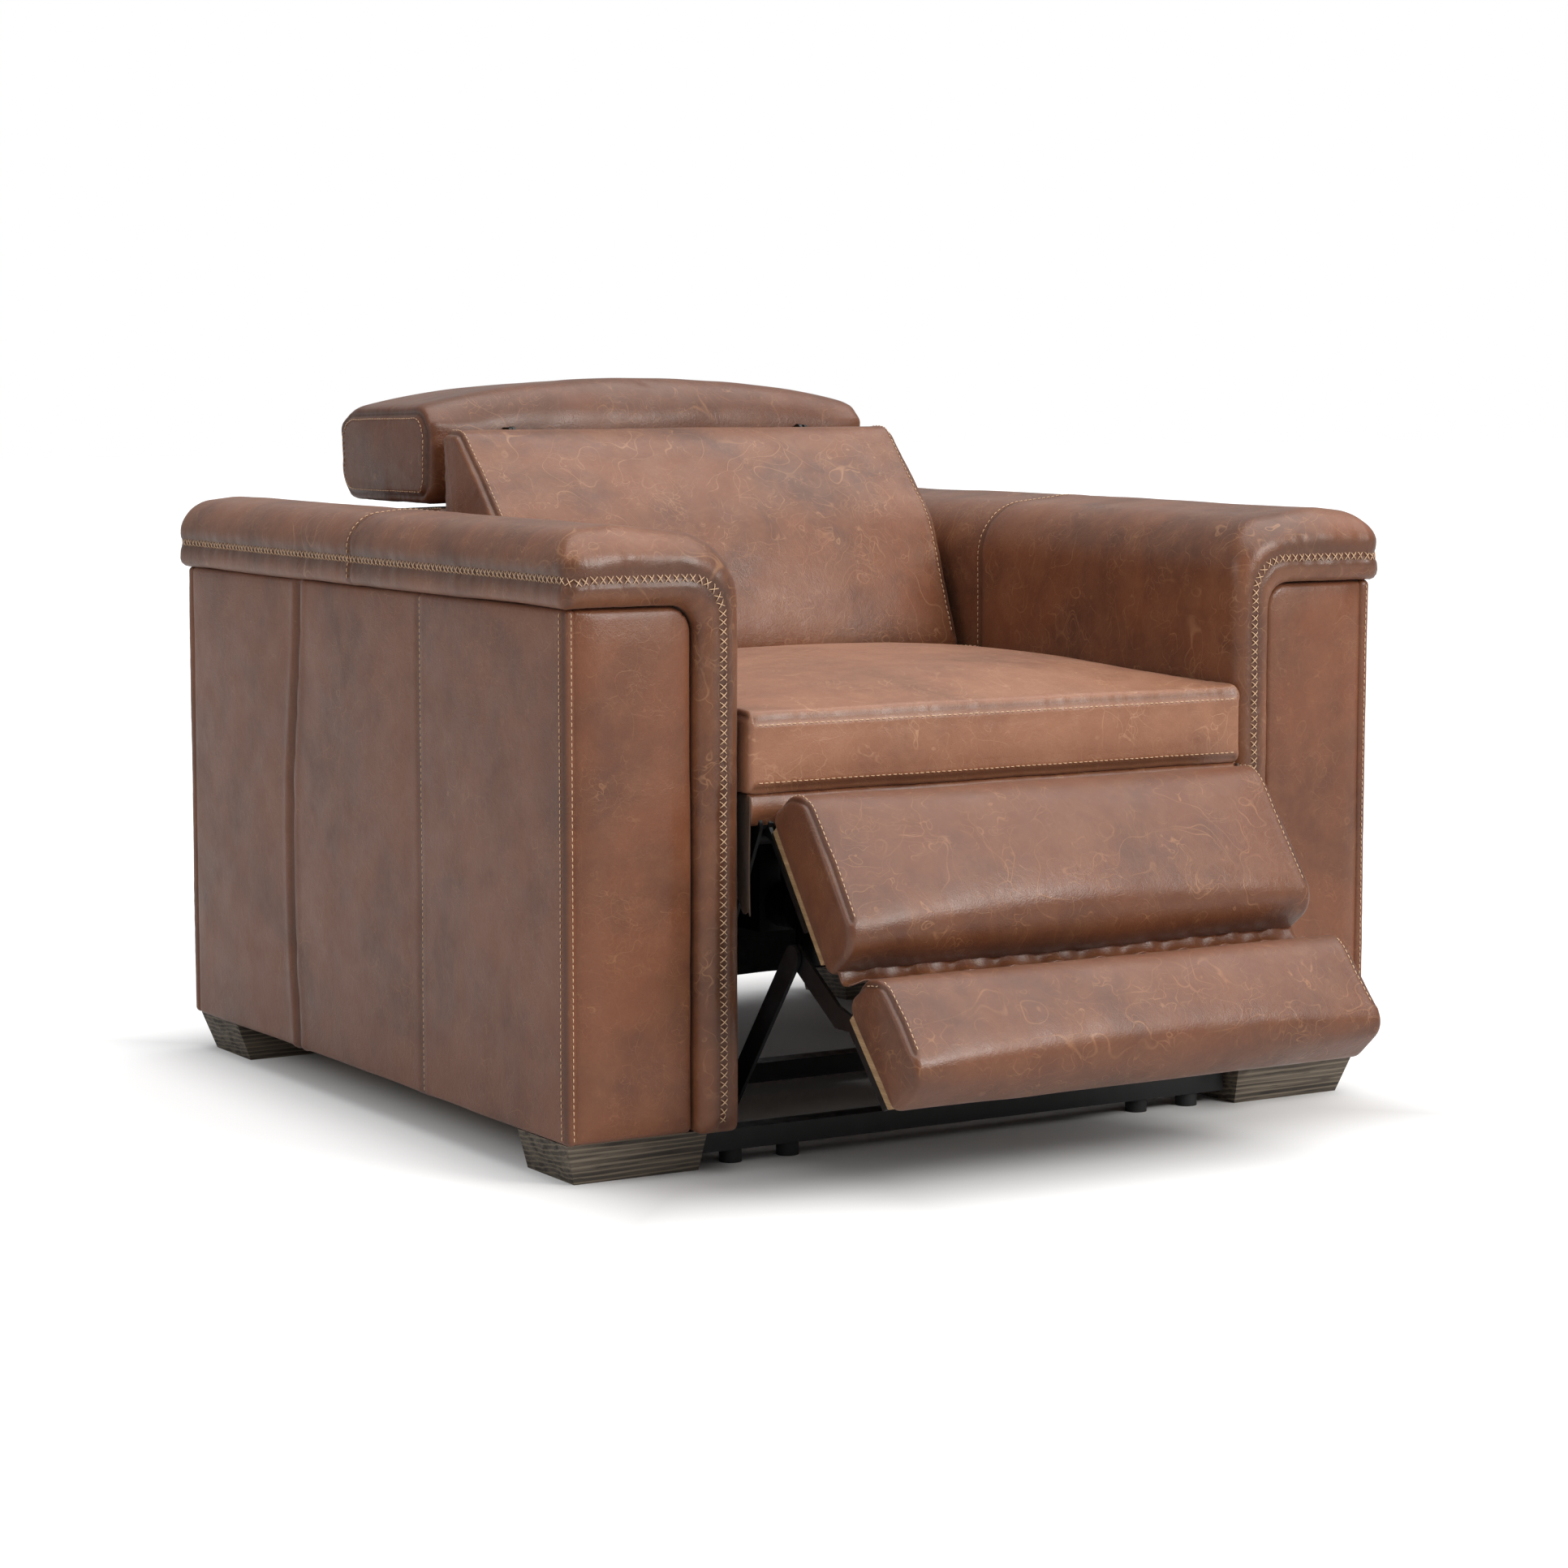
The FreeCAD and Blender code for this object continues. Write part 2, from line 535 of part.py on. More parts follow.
def make_footrest():
    tube_hole = rod_x(*TORQUE_PIVOT, -SWING_LINK_X - 2 * PLATE, SWING_LINK_X + 2 * PLATE, 10.0)
    add("torque_tube", torque_tube())
    add("front_links", both(lambda side: front_link(side).cut(tube_hole)))
    add("rear_links", both(rear_link))
    add("lower_links", both(lower_link))
    add("carrier_links", both(carrier))
    add("lower_pad_brackets", both(lower_bracket))
    add("lower_pad_board", pad_board(LOWER_PAD_CENTRE, LOWER_PAD_TILT, -52.0, 58.0))
    add("lower_pad", pad(LOWER_PAD_CENTRE, LOWER_PAD_TILT, -66.0, 69.0, (20.0, 34.0)))
    add("upper_pad_brackets", both(upper_bracket))
    add("upper_pad_board", pad_board(UPPER_PAD_CENTRE, UPPER_PAD_TILT, -70.0, 92.0))
    add("upper_pad", pad(UPPER_PAD_CENTRE, UPPER_PAD_TILT, -92.0, 104.0, (30.0, 38.0)))

    # screw drive: the nut's fork pushes the crank pin
    pin_depth, pin_height = TORQUE_PIVOT[0], TORQUE_PIVOT[1] - CRANK_LENGTH
    screw_z = pin_height + 6
    fork_length = 120.0
    nut_depth = pin_depth + fork_length
    nut = box(-17, 17, nut_depth - 20, nut_depth + 20, screw_z - 17, screw_z + 17)
    for side in (-1, 1):
        nut = nut.fuse(box(side * 9, side * 17, pin_depth - 14, nut_depth, pin_height - 12, pin_height + 25))
    slot = [(pin_depth - 7, pin_height - 7), (pin_depth + 7, pin_height - 7),
            (pin_depth + 7, pin_height + 21), (pin_depth - 7, pin_height + 21)]
    nut = nut.cut(side_profile(slot, [6.5] * 4, -18, 18))
    nut = nut.cut(rod_y(0, screw_z, nut_depth - 21, nut_depth + 21, 7.6))
    add("drive_nut", nut.removeSplitter())
    motor = box(-34, 34, 330, 392, screw_z - 30, FOOTREST_TUBE[1] - 12.5)
    motor = motor.fuse([rod_z(0, 361, 150, screw_z - 30, 27), rod_y(0, screw_z, 116, 331, 7.0)])
    add("footrest_motor", motor)


# ---------------------------------------------------------------- back
def make_back():
    points = [(519, 500), (580, 668), (688, 782), (CUSHION_BACK_DEPTH, 782), (CUSHION_BACK_DEPTH, 430), (562, 430)]
    add("back_cushion", side_profile(points, [22.0, 60.0, 24.0, 16.0, 10.0, 20.0],
                                     -BACK_HALF_WIDTH, BACK_HALF_WIDTH))

    d0, d1 = UPRIGHT_DEPTHS
    frame = box(-306, 306, d0, d1, 300, 655)
    frame = frame.cut(box(-276, 276, d0 - 1, d1 + 1, 330, 460))
    frame = frame.cut(box(-276, 276, d0 - 1, d1 + 1, 490, 625))
    add("back_frame", frame)

    springs = []
    for z in (368.0, 414.0, 520.0, 560.0, 600.0):
        points = []
        steps = 12
        for step in range(steps + 1):
            swing = 0.0 if step in (0, steps) else (10.0 if step % 2 else -10.0)
            x = -290 + 580 * step / steps
            points.append(FreeCAD.Vector(x, d0 - WIRE_RADIUS, z + swing))
        springs.append(wire(points, WIRE_RADIUS))
    add("back_springs", Part.makeCompound(springs))

    # upholstered shell behind the frame
    top = [(LEDGE_FRONT, 667), (LEDGE_FRONT, 680), (BACK_REAR, 669), (BACK_REAR, 656)]
    add("back_top_panel", side_profile(top, [2.0, 4.0, 6.0, 2.0], -BACK_HALF_WIDTH, BACK_HALF_WIDTH))
    add("back_rear_panel", box(-BACK_HALF_WIDTH, BACK_HALF_WIDTH, BACK_REAR - 12, BACK_REAR, BACK_BOTTOM_Z, 655.5))
    add("back_side_panels", both(lambda side: box(side * (BACK_HALF_WIDTH - 12), side * BACK_HALF_WIDTH,
                                                  768, BACK_REAR - 12.3, 380, 655.5)))

    def hinge_plate(side):
        tail = [(682, 312), (720, 312), (765, 330), (765, 450), (735, 450), (690, 350)]
        shape = plate(tail, CARRIER_X, side)
        pivot = rod_x(*RECLINE_PIVOT, side * CARRIER_X, side * (SIDE_PLATE_X + PLATE), PIN_RADIUS)
        return shape.fuse(pivot)
    add("back_hinge_plates", both(hinge_plate))

    def lever_plate(side):
        tail = [(708, 198), (732, 198), (764, 299.5), (736, 299.5)]
        return plate(tail, 19.0, side, 4.0)
    lever_pin = rod_x(*RECLINE_LEVER_PIN, -23, 23, PIN_RADIUS)
    add("recline_lever", lever_plate(-1).fuse([lever_plate(1), lever_pin]))

    # recline actuator under the seat
    height = RECLINE_LEVER_PIN[1]
    motor = box(-34, 34, 440, 500, height - 32, RECLINE_TUBE[1] - 12.5)
    motor = motor.fuse(rod_y(0, height, 500, 640, 16.0))
    motor = motor.fuse(rod_y(0, height, 396, 440, 27.0))
    add("recline_motor", motor.cut(rod_y(0, height, 505, 641, 9.6)))
    rod = rod_y(0, height, 575, 706, 9.0)
    eye = box(-9, 9, 700, 732, height - 15, height + 15)
    rod = rod.fuse(eye)
    slot = [(713.5, height - 9.5), (726.5, height - 9.5), (726.5, height + 9.5), (713.5, height + 9.5)]
    add("recline_rod", rod.cut(side_profile(slot, [6.0] * 4, -10, 10)).removeSplitter())

    control = box(150, 270, 445, 495, RECLINE_TUBE[1] - 48, RECLINE_TUBE[1] - 12.5)
    add("control_box", control)
    # inlet on the inner face of the right base plate, open to the rear under the back
    rear_end, bore_depth = BASE_PLATE_REAR, INLET_BORE_LENGTH
    inlet = box(BASE_PLATE_X - 28, BASE_PLATE_X, rear_end - 24, rear_end, INLET_Z - 14, INLET_Z + 14)
    bore = rod_y(INLET_X, INLET_Z, rear_end - bore_depth, rear_end + 1, INLET_RADIUS)
    add("power_inlet", inlet.cut(bore))


# ---------------------------------------------------------------- headrest
def make_headrest():
    depth, height = HEADREST_PIVOT
    d0, d1 = UPRIGHT_DEPTHS

    def strap(side):
        shape = box(side * STRAP_X, side * (STRAP_X + PLATE), depth - 10, depth + 10, 655, height)
        shape = shape.fuse(rod_x(depth, height, side * STRAP_X, side * (STRAP_X + PLATE), 10.0))
        shape = shape.fuse(box(side * (STRAP_X - 12), side * (STRAP_X + 16), d0, d0 + 21.5, 655, 659))
        return shape.cut(hole(HEADREST_PIVOT, STRAP_X, STRAP_X + PLATE, side, radius=4.0)).removeSplitter()
    add("headrest_straps", both(strap))

    board = box(-285, 285, 780, 985, 733, 745)

    def lug(side):
        points = [(depth - 9, height - 9), (depth + 9, height - 9), (792, 745), (830, 745), (depth + 9, height + 9),
                  (depth - 9, height + 9)]
        shape = plate(points, LUG_X, side, 3.0)
        return shape.fuse(rod_x(depth, height, side * (STRAP_X - 3), side * (LUG_X + PLATE), 4.0))
    frame = board.fuse([lug(-1), lug(1)]).removeSplitter()
    add("headrest_frame", frame)
    gearmotor = rod_x(806, 763, -62, 62, 18.0)
    add("headrest_gearmotor", gearmotor)

    points = [(HEADREST_FRONT, 686), (HEADREST_FRONT, 834), (HEADREST_REAR, 828), (HEADREST_REAR, 683)]
    pillow = side_profile(points, [14.0, 52.0, 60.0, 50.0], -HEADREST_HALF_WIDTH, HEADREST_HALF_WIDTH)
    add("headrest_pillow", pillow.cut(frame).cut(gearmotor))


# ---------------------------------------------------------------- build
make_arms()
make_switches()
make_base()
make_seat()
make_footrest()
make_back()
make_headrest()

os.makedirs("parts", exist_ok=True)
bounds = FreeCAD.BoundBox()
for node, shape in sorted(NODES.items()):
    placed = place(shape)
    bounds.add(placed.BoundBox)
    placed.exportStep("parts/" + node + ".step")
    if not placed.isValid():
        print("not valid:", node)
print(len(NODES), "nodes; X", round(bounds.XMin, 1), round(bounds.XMax, 1),
      "Y", round(bounds.YMin, 1), round(bounds.YMax, 1), "Z", round(bounds.ZMin, 1), round(bounds.ZMax, 1))
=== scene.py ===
"""Looks of a power recliner armchair in distressed brown leather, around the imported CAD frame.

Shapes are worked out in millimetres as (x, depth, height), where depth is measured back from the
arms' front panels, as in the CAD source. put() turns them into the row frame's metres.
"""
import math

import bmesh
import bpy
import numpy as np
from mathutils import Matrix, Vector
from mathutils.bvhtree import BVHTree


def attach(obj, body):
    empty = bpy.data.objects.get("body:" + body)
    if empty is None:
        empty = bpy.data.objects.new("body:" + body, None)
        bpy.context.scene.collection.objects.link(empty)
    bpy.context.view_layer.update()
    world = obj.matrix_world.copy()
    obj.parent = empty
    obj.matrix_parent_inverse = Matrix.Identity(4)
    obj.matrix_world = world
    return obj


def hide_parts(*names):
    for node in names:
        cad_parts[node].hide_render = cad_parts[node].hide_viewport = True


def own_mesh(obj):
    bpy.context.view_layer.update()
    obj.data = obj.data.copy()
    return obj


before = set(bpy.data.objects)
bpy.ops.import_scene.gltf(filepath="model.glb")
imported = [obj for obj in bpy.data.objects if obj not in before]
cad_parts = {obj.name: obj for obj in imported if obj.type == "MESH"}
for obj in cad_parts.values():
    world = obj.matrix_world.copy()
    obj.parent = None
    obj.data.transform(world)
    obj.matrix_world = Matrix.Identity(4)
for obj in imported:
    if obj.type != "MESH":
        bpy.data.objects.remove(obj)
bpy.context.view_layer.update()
MM = 0.001
FRONT_PLANE_Y = -351.0

# Main sizes, in millimetres
ROLL_INNER, ROLL_OUTER = 326, 538  # the arm roll's inner side and its overhang's outer side
PANEL_INNER, PANEL_OUTER = 379, 530  # the front panel's inner edge and the side panel's face
PANEL_FOOT, PANEL_HEAD = 45.5, 606  # the arm panels' lower and upper ends
ARM_REAR = 1011  # the depth where the arm rolls end
ROLL_FACE = -20  # the depth of the arm rolls' front face
SEAM_X, SEAM_Z = 351, 635  # the cross-stitched seam, up the roll's front and along its side
SEAT_HALF, BACK_HALF, HEADREST_HALF, PAD_HALF = 324.0, 311.0, 314.0, 301.0


# ---- points and meshes
def put(points):
    """Millimetres behind the front panels to metres in the row frame."""
    out = np.array(points, float).reshape(-1, 3)
    out[:, 1] += FRONT_PLANE_Y
    return out * MM


def take(points):
    """Metres in the row frame to millimetres behind the front panels."""
    out = np.array(points).reshape(-1, 3) / MM
    out[:, 1] -= FRONT_PLANE_Y
    return out


def coords(obj):
    """A mesh's points in millimetres behind the front panels."""
    flat = np.empty(len(obj.data.vertices) * 3)
    obj.data.vertices.foreach_get("co", flat)
    return take(flat)


def set_coords(obj, points):
    obj.data.vertices.foreach_set("co", put(points).ravel())
    obj.data.update()


def normals(obj):
    flat = np.empty(len(obj.data.vertices) * 3)
    obj.data.vertex_normals.foreach_get("vector", flat)
    return flat.reshape(-1, 3)


def edit_mesh(mesh, change):
    bm = bmesh.new()
    bm.from_mesh(mesh)
    change(bm)
    bm.to_mesh(mesh)
    bm.free()


def face_outward(bm):
    bmesh.ops.recalc_face_normals(bm, faces=bm.faces)


def split_large_faces(bm):
    bmesh.ops.triangulate(bm, faces=[f for f in bm.faces if len(f.verts) > 4], ngon_method="BEAUTY")


def mesh_object(name, points, faces, material, outward=True):
    mesh = bpy.data.meshes.new(name)
    mesh.from_pydata([tuple(p) for p in put(points)], [], [tuple(f) for f in faces])
    if outward:
        edit_mesh(mesh, face_outward)
    mesh.polygons.foreach_set("use_smooth", [True] * len(mesh.polygons))
    mesh.materials.append(material)
    obj = bpy.data.objects.new(name, mesh)
    bpy.context.scene.collection.objects.link(obj)
    return obj


def bake(obj):
    """Turn the object's modifiers into its mesh."""
    bpy.context.view_layer.update()
    graph = bpy.context.evaluated_depsgraph_get()
    mesh = bpy.data.meshes.new_from_object(obj.evaluated_get(graph))
    old = obj.data
    obj.modifiers.clear()
    obj.data = mesh
    bpy.data.meshes.remove(old)


def subdivide(obj):
    modifier = obj.modifiers.new("finer", "SUBSURF")
    modifier.levels = modifier.render_levels = 1
    bake(obj)


def unit(vector):
    return vector / max(np.linalg.norm(vector), 1e-9)


def smooth(value, low, high):
    """0 below low, 1 above high and an even turn between them."""
    t = np.clip((np.asarray(value, float) - low) / (high - low), 0, 1)
    return t * t * (3 - 2 * t)


def swelling(distance, width, power=0.5):
    """How full a cover is at a distance from its edge, from 0 at the edge to 1 at width."""
    return np.clip(distance / width, 0, 1) ** power


def hump(value, low, length, power):
    """A rounded rise from 0 at low to 1 and back to 0, length further on."""
    return np.sin(math.pi * np.clip((value - low) / length, 0, 1)) ** power


def along_line(line):
    """How far along a line each of its points lies."""
    return np.concatenate([[0], np.cumsum(np.linalg.norm(np.diff(line, axis=0), axis=1))])


HASH_X, HASH_Y, HASH_Z, HASH_SEED = 73856093, 19349663, 83492791, 2654435


def noise(points, size, seed):
    """Smooth noise from -1 to 1 with features about size millimetres across."""
    q = np.asarray(points, float) / size + seed * 17.31
    cell = np.floor(q).astype(np.int64)
    f = q - cell
    f = f * f * f * (f * (f * 6 - 15) + 10)
    total = np.zeros(len(q))
    for corner in range(8):
        step = np.array([corner & 1, corner >> 1 & 1, corner >> 2 & 1])
        ix, iy, iz = (cell + step).T
        n = (ix * HASH_X) ^ (iy * HASH_Y) ^ (iz * HASH_Z) ^ (seed * HASH_SEED)
        n = (n * 1103515245 + 12345) & 0x7FFFFFFF
        n = ((n >> 9) ^ n) * 48271 & 0x7FFFFFFF
        value = (n & 0xFFFF) / 32767.5 - 1
        weight = np.prod(np.where(step == 1, f, 1 - f), axis=1)
        total += value * weight
    return total


def rounded_loop(corners, radii, spacing):
    """Closed outline with rounded corners as evenly spaced points, and the outward normals there."""
    corners = [np.array(c, float) for c in corners]
    path = []
    for index, (corner, radius) in enumerate(zip(corners, radii)):
        before = unit(corners[index - 1] - corner)
        after = unit(corners[(index + 1) % len(corners)] - corner)
        half = math.acos(np.clip(before @ after, -1, 1)) / 2
        centre = corner + unit(before + after) * (radius / math.sin(half))
        start = corner + before * (radius / math.tan(half)) - centre
        end = corner + after * (radius / math.tan(half)) - centre
        first = math.atan2(start[1], start[0])
        sweep = (math.atan2(end[1], end[0]) - first + math.pi) % (2 * math.pi) - math.pi
        for angle in np.linspace(first, first + sweep, 12):
            path.append(centre + radius * np.array([math.cos(angle), math.sin(angle)]))
    path = np.array(path + path[:1])
    run = along_line(path)
    count = max(8, round(run[-1] / spacing))
    at = np.arange(count) * run[-1] / count
    points = np.stack([np.interp(at, run, path[:, axis]) for axis in (0, 1)], axis=1)
    along = np.roll(points, -1, axis=0) - np.roll(points, 1, axis=0)
    area = np.sum(points[:, 0] * np.roll(points[:, 1], -1) - np.roll(points[:, 0], -1) * points[:, 1])
    out = np.stack([along[:, 1], -along[:, 0]], axis=1) * (1 if area > 0 else -1)
    return points, out / np.linalg.norm(out, axis=1)[:, None]


def ring_faces(rows, count):
    """Quads between the rows of a tube, each row a closed ring of count points."""
    faces = []
    for row in range(rows - 1):
        for index in range(count):
            following = (index + 1) % count
            faces.append((row * count + index, row * count + following,
                          (row + 1) * count + following, (row + 1) * count + index))
    return faces


def bolster(name, corners, radii, half_width, material, spacing=7.0, cap_radius=9.0, cap_bulge=5.0):
    """A padded block: a (depth, height) outline across the chair, with rounded, filled end caps."""
    loop, out = rounded_loop(corners, radii, spacing)
    count = len(loop)
    middle = loop.mean(axis=0)
    rows = []
    rings = 7
    for ring in range(1, rings):
        share = ring / rings
        rows.append((-half_width - cap_bulge * (1 - share ** 2), cap_radius, share))
    turns = 5
    for turn in range(turns):
        angle = math.pi / 2 * (1 - turn / turns)
        edge = -half_width + cap_radius * (1 - math.sin(angle))
        rows.append((edge, cap_radius * (1 - math.cos(angle)), 1.0))
    inner = half_width - cap_radius
    for x in np.linspace(-inner, inner, max(3, round(2 * inner / spacing))):
        rows.append((x, 0.0, 1.0))
    rows += [(-x, inset, share) for x, inset, share in reversed(rows[:rings - 1 + turns])]
    points = []
    for x, inset, share in rows:
        ring = middle + (loop - out * inset - middle) * share
        points.append(np.column_stack([np.full(count, x), ring]))
    points = np.concatenate(points)
    faces = ring_faces(len(rows), count)
    tips = []
    for x, first in ((-half_width - cap_bulge, 0), (half_width + cap_bulge, (len(rows) - 1) * count)):
        tips.append((x, middle[0], middle[1]))
        tip = len(points) + len(tips) - 1
        faces += [(first + index, first + (index + 1) % count, tip) for index in range(count)]
    points = np.concatenate([points, tips])
    return mesh_object(name, points, faces, material)


def ticks(low, high, spacing, radius):
    """A slab's grid lines along one axis, closer where its edges are rounded."""
    inner = np.linspace(low + radius, high - radius, max(2, round((high - low - 2 * radius) / spacing) + 1))
    edge = radius * np.array([0.0, 0.35, 0.7])
    return np.concatenate([low + edge, inner, (high - edge)[::-1]])


def slab(name, low, high, material, spacing=6.0, radius=6.0):
    """A block with rounded edges and an even grid on each face."""
    low, high = np.minimum(low, high), np.maximum(low, high)
    lines = [ticks(low[axis], high[axis], spacing, radius) for axis in range(3)]
    last = [len(line) - 1 for line in lines]
    index, points, faces = {}, [], []

    def vertex(key):
        if key not in index:
            index[key] = len(points)
            points.append([lines[axis][key[axis]] for axis in range(3)])
        return index[key]

    for axis in range(3):
        u, v = (axis + 1) % 3, (axis + 2) % 3
        for end in (0, last[axis]):
            for i in range(last[u]):
                for j in range(last[v]):
                    quad = []
                    for di, dj in ((0, 0), (1, 0), (1, 1), (0, 1)):
                        key = [0, 0, 0]
                        key[axis], key[u], key[v] = end, i + di, j + dj
                        quad.append(vertex(tuple(key)))
                    faces.append(quad)
    points = np.array(points)
    core = np.clip(points, low + radius, high - radius)
    away = points - core
    length = np.linalg.norm(away, axis=1)
    moved = core + away * (radius / np.maximum(length, 1e-9))[:, None]
    points = np.where((length > 1e-6)[:, None], moved, points)
    return mesh_object(name, points, faces, material)


# ---- seams and stitches
def even_line(points, spacing=2.0):
    """A polyline's points, evenly spaced."""
    points = np.array(points, float)
    run = along_line(points)
    at = np.linspace(0, run[-1], max(2, round(run[-1] / spacing) + 1))
    return np.stack([np.interp(at, run, points[:, axis]) for axis in range(3)], axis=1)


def surface(obj):
    return BVHTree.FromObject(obj, bpy.context.evaluated_depsgraph_get())


def snap(tree, line):
    """The nearest surface points and normals to a line, in millimetres."""
    on, out = [], []
    for point in put(line):
        place, normal, _, _ = tree.find_nearest(Vector(point))
        on.append(place)
        out.append(normal)
    return take([tuple(p) for p in on]), np.array([tuple(n) for n in out])


def seam_line(tree, points, spacing=3.0):
    """A seam through a few points, laid on the surface."""
    return snap(tree, even_line(points, spacing))[0]


def distance_along(points, line, reach):
    """For each point: distance to the line, and how far along the line its nearest place is."""
    near = np.full(len(points), 1e9)
    along = np.zeros(len(points))
    low, high = line.min(axis=0) - reach, line.max(axis=0) + reach
    inside = np.nonzero(np.all((points > low) & (points < high), axis=1))[0]
    run = along_line(line)
    for block in np.array_split(inside, max(1, len(inside) // 4000)):
        gap = np.linalg.norm(points[block, None, :] - line[None, :, :], axis=2)
        best = gap.argmin(axis=1)
        near[block] = gap[np.arange(len(block)), best]
        along[block] = run[best]
    return near, along


def crease(obj, line, depth=2.5, width=3.5, pucker=0.6, reach=16.0, period=13.0, seed=1):
    """Pull a sewn seam into the padding, with the small gathers that it makes beside it."""
    line = even_line(line, 2.0)
    points = coords(obj)
    near, along = distance_along(points, line, reach * 3)
    groove = -depth * np.exp(-(near / width) ** 2)
    lip = depth * 0.3 * np.exp(-((near - 2.4 * width) / (1.4 * width)) ** 2)
    beat = np.column_stack([along, np.zeros(len(along)), np.zeros(len(along))])
    wave = noise(beat, period * 0.55, seed) + 0.6 * noise(beat, period * 1.7, seed + 5)
    gather = pucker * wave * np.exp(-near / reach) * (1 - np.exp(-(near / width) ** 2))
    set_coords(obj, points + normals(obj) * (groove + lip + gather)[:, None])
    # painted shade: darkest in the seam's groove, with a fainter darkening reaching out beside it
    paint_seam_shade(obj, np.exp(-(near / (width * 1.1)) ** 2) + 0.35 * np.exp(-near / 14.0) * (near < 1e6))


def paint_seam_shade(obj, amount):
    """Add to the seam layer: painted shade that darkens the leather in and beside its seam grooves."""
    layer = obj.data.attributes.get("seam") or obj.data.attributes.new("seam", "FLOAT", "POINT")
    now = np.zeros(len(obj.data.vertices), np.float32)
    layer.data.foreach_get("value", now)
    layer.data.foreach_set("value", np.minimum(now + amount, 1.0).astype(np.float32))


def thread_piece(points, radius, sides=5):
    """One short thread: a tube through a few points, with closed ends."""
    points = np.array(points)
    along = unit(points[-1] - points[0])
    side = unit(np.cross(along, [0.3, 0.2, 0.9]))
    up = np.cross(along, side)
    rows = []
    for index, point in enumerate(points):
        share = 0.45 if index in (0, len(points) - 1) else 1.0
        for k in range(sides):
            angle = 2 * math.pi * k / sides
            rows.append(point + radius * share * (math.cos(angle) * side + math.sin(angle) * up))
    faces = ring_faces(len(points), sides)
    faces.append(tuple(range(sides)))
    faces.append(tuple(reversed(range((len(points) - 1) * sides, len(points) * sides))))
    return np.array(rows), faces


class Threads:
    """All the visible thread on one piece, as one mesh."""

    def __init__(self, name, piece):
        self.name, self.piece, self.tree = name, piece, surface(piece)
        self.points, self.faces, self.total = [], [], 0

    def add(self, points, radius):
        rows, faces = thread_piece(points, radius)
        self.faces += [tuple(i + self.total for i in face) for face in faces]
        self.points.append(rows)
        self.total += len(rows)

    def run(self, line, length=5.0, gap=1.7, radius=0.55):
        """Straight topstitching along a line."""
        line = even_line(line, 1.0)
        on, out = snap(self.tree, line)
        step = round(length + gap)
        half = length / 2
        for start in range(2, len(on) - int(length) - 1, step):
            middle = start + int(half)
            end = start + int(length)
            lift = radius * 0.9
            rise = [on[at] * 0.7 + on[middle] * 0.3 + out[at] * lift * 0.8 for at in (start, end)]
            sunk = [on[at] - out[at] * 0.5 for at in (start, end)]
            self.add([sunk[0], rise[0], on[middle] + out[middle] * lift, rise[1], sunk[1]], radius)

    def cross(self, line, pitch=9.6, reach=5.1, radius=0.54):
        """Cross-stitching astride a seam."""
        line = even_line(line, 1.0)
        on, out = snap(self.tree, line)
        count = int((len(on) - 3) / pitch)
        for index in range(count):
            first = int(1 + index * pitch)
            last = min(int(first + pitch - 1), len(on) - 1)
            along = unit(on[last] - on[first])
            normal = unit(out[first] + out[last])
            across = unit(np.cross(along, normal))
            for way in (-1, 1):
                ends = np.array([on[first] + across * reach * way, on[last] - across * reach * way])
                foot, face = snap(self.tree, ends)
                middle = (foot[0] + foot[1]) / 2
                over = radius * (1.1 if way > 0 else 2.1)
                ridge = max(((on[(first + last) // 2] - middle) @ normal), 0) + over
                quarter = [foot[0] * 0.75 + foot[1] * 0.25, foot[1] * 0.75 + foot[0] * 0.25]
                self.add([foot[0] - face[0] * 0.6, quarter[0] + normal * ridge * 0.8, middle + normal * ridge,
                          quarter[1] + normal * ridge * 0.8, foot[1] - face[1] * 0.6], radius)

    def finish(self):
        obj = mesh_object(self.name, np.concatenate(self.points), self.faces, THREAD)
        obj.parent = self.piece
        return obj


# ---- inflating the padding
def inflate(obj, held, pressure=4.0, cap=22.0, frames=18):
    """Cloth simulation of a cover under the push of its filling. held marks the points that stay."""
    start = coords(obj)
    group = obj.vertex_groups.new(name="held")
    group.add([int(i) for i in np.nonzero(held)[0]], 1.0, "REPLACE")
    cloth = obj.modifiers.new("cloth", "CLOTH")
    settings = cloth.settings
    settings.quality = 5
    settings.mass = 0.4
    settings.tension_stiffness = 20
    settings.compression_stiffness = 20
    settings.shear_stiffness = 8
    settings.bending_stiffness = 2.0
    settings.use_pressure = True
    settings.uniform_pressure_force = pressure
    settings.vertex_group_mass = "held"
    settings.effector_weights.gravity = 0
    cloth.collision_settings.use_self_collision = False
    scene = bpy.context.scene
    scene.frame_start, scene.frame_end = 1, frames
    for step in range(1, frames + 1):
        scene.frame_set(step)
    bake(obj)
    scene.frame_set(1)
    moved = coords(obj) - start
    length = np.linalg.norm(moved, axis=1)
    share = cap * np.tanh(length / cap) / np.maximum(length, 1e-9)
    set_coords(obj, start + moved * share[:, None])


def soften(obj, size, amount, seed):
    """Slow unevenness of a hand-covered surface."""
    points = coords(obj)
    shift = amount * (noise(points, size, seed) + 0.4 * noise(points, size * 0.37, seed + 3))
    set_coords(obj, points + normals(obj) * shift[:, None])


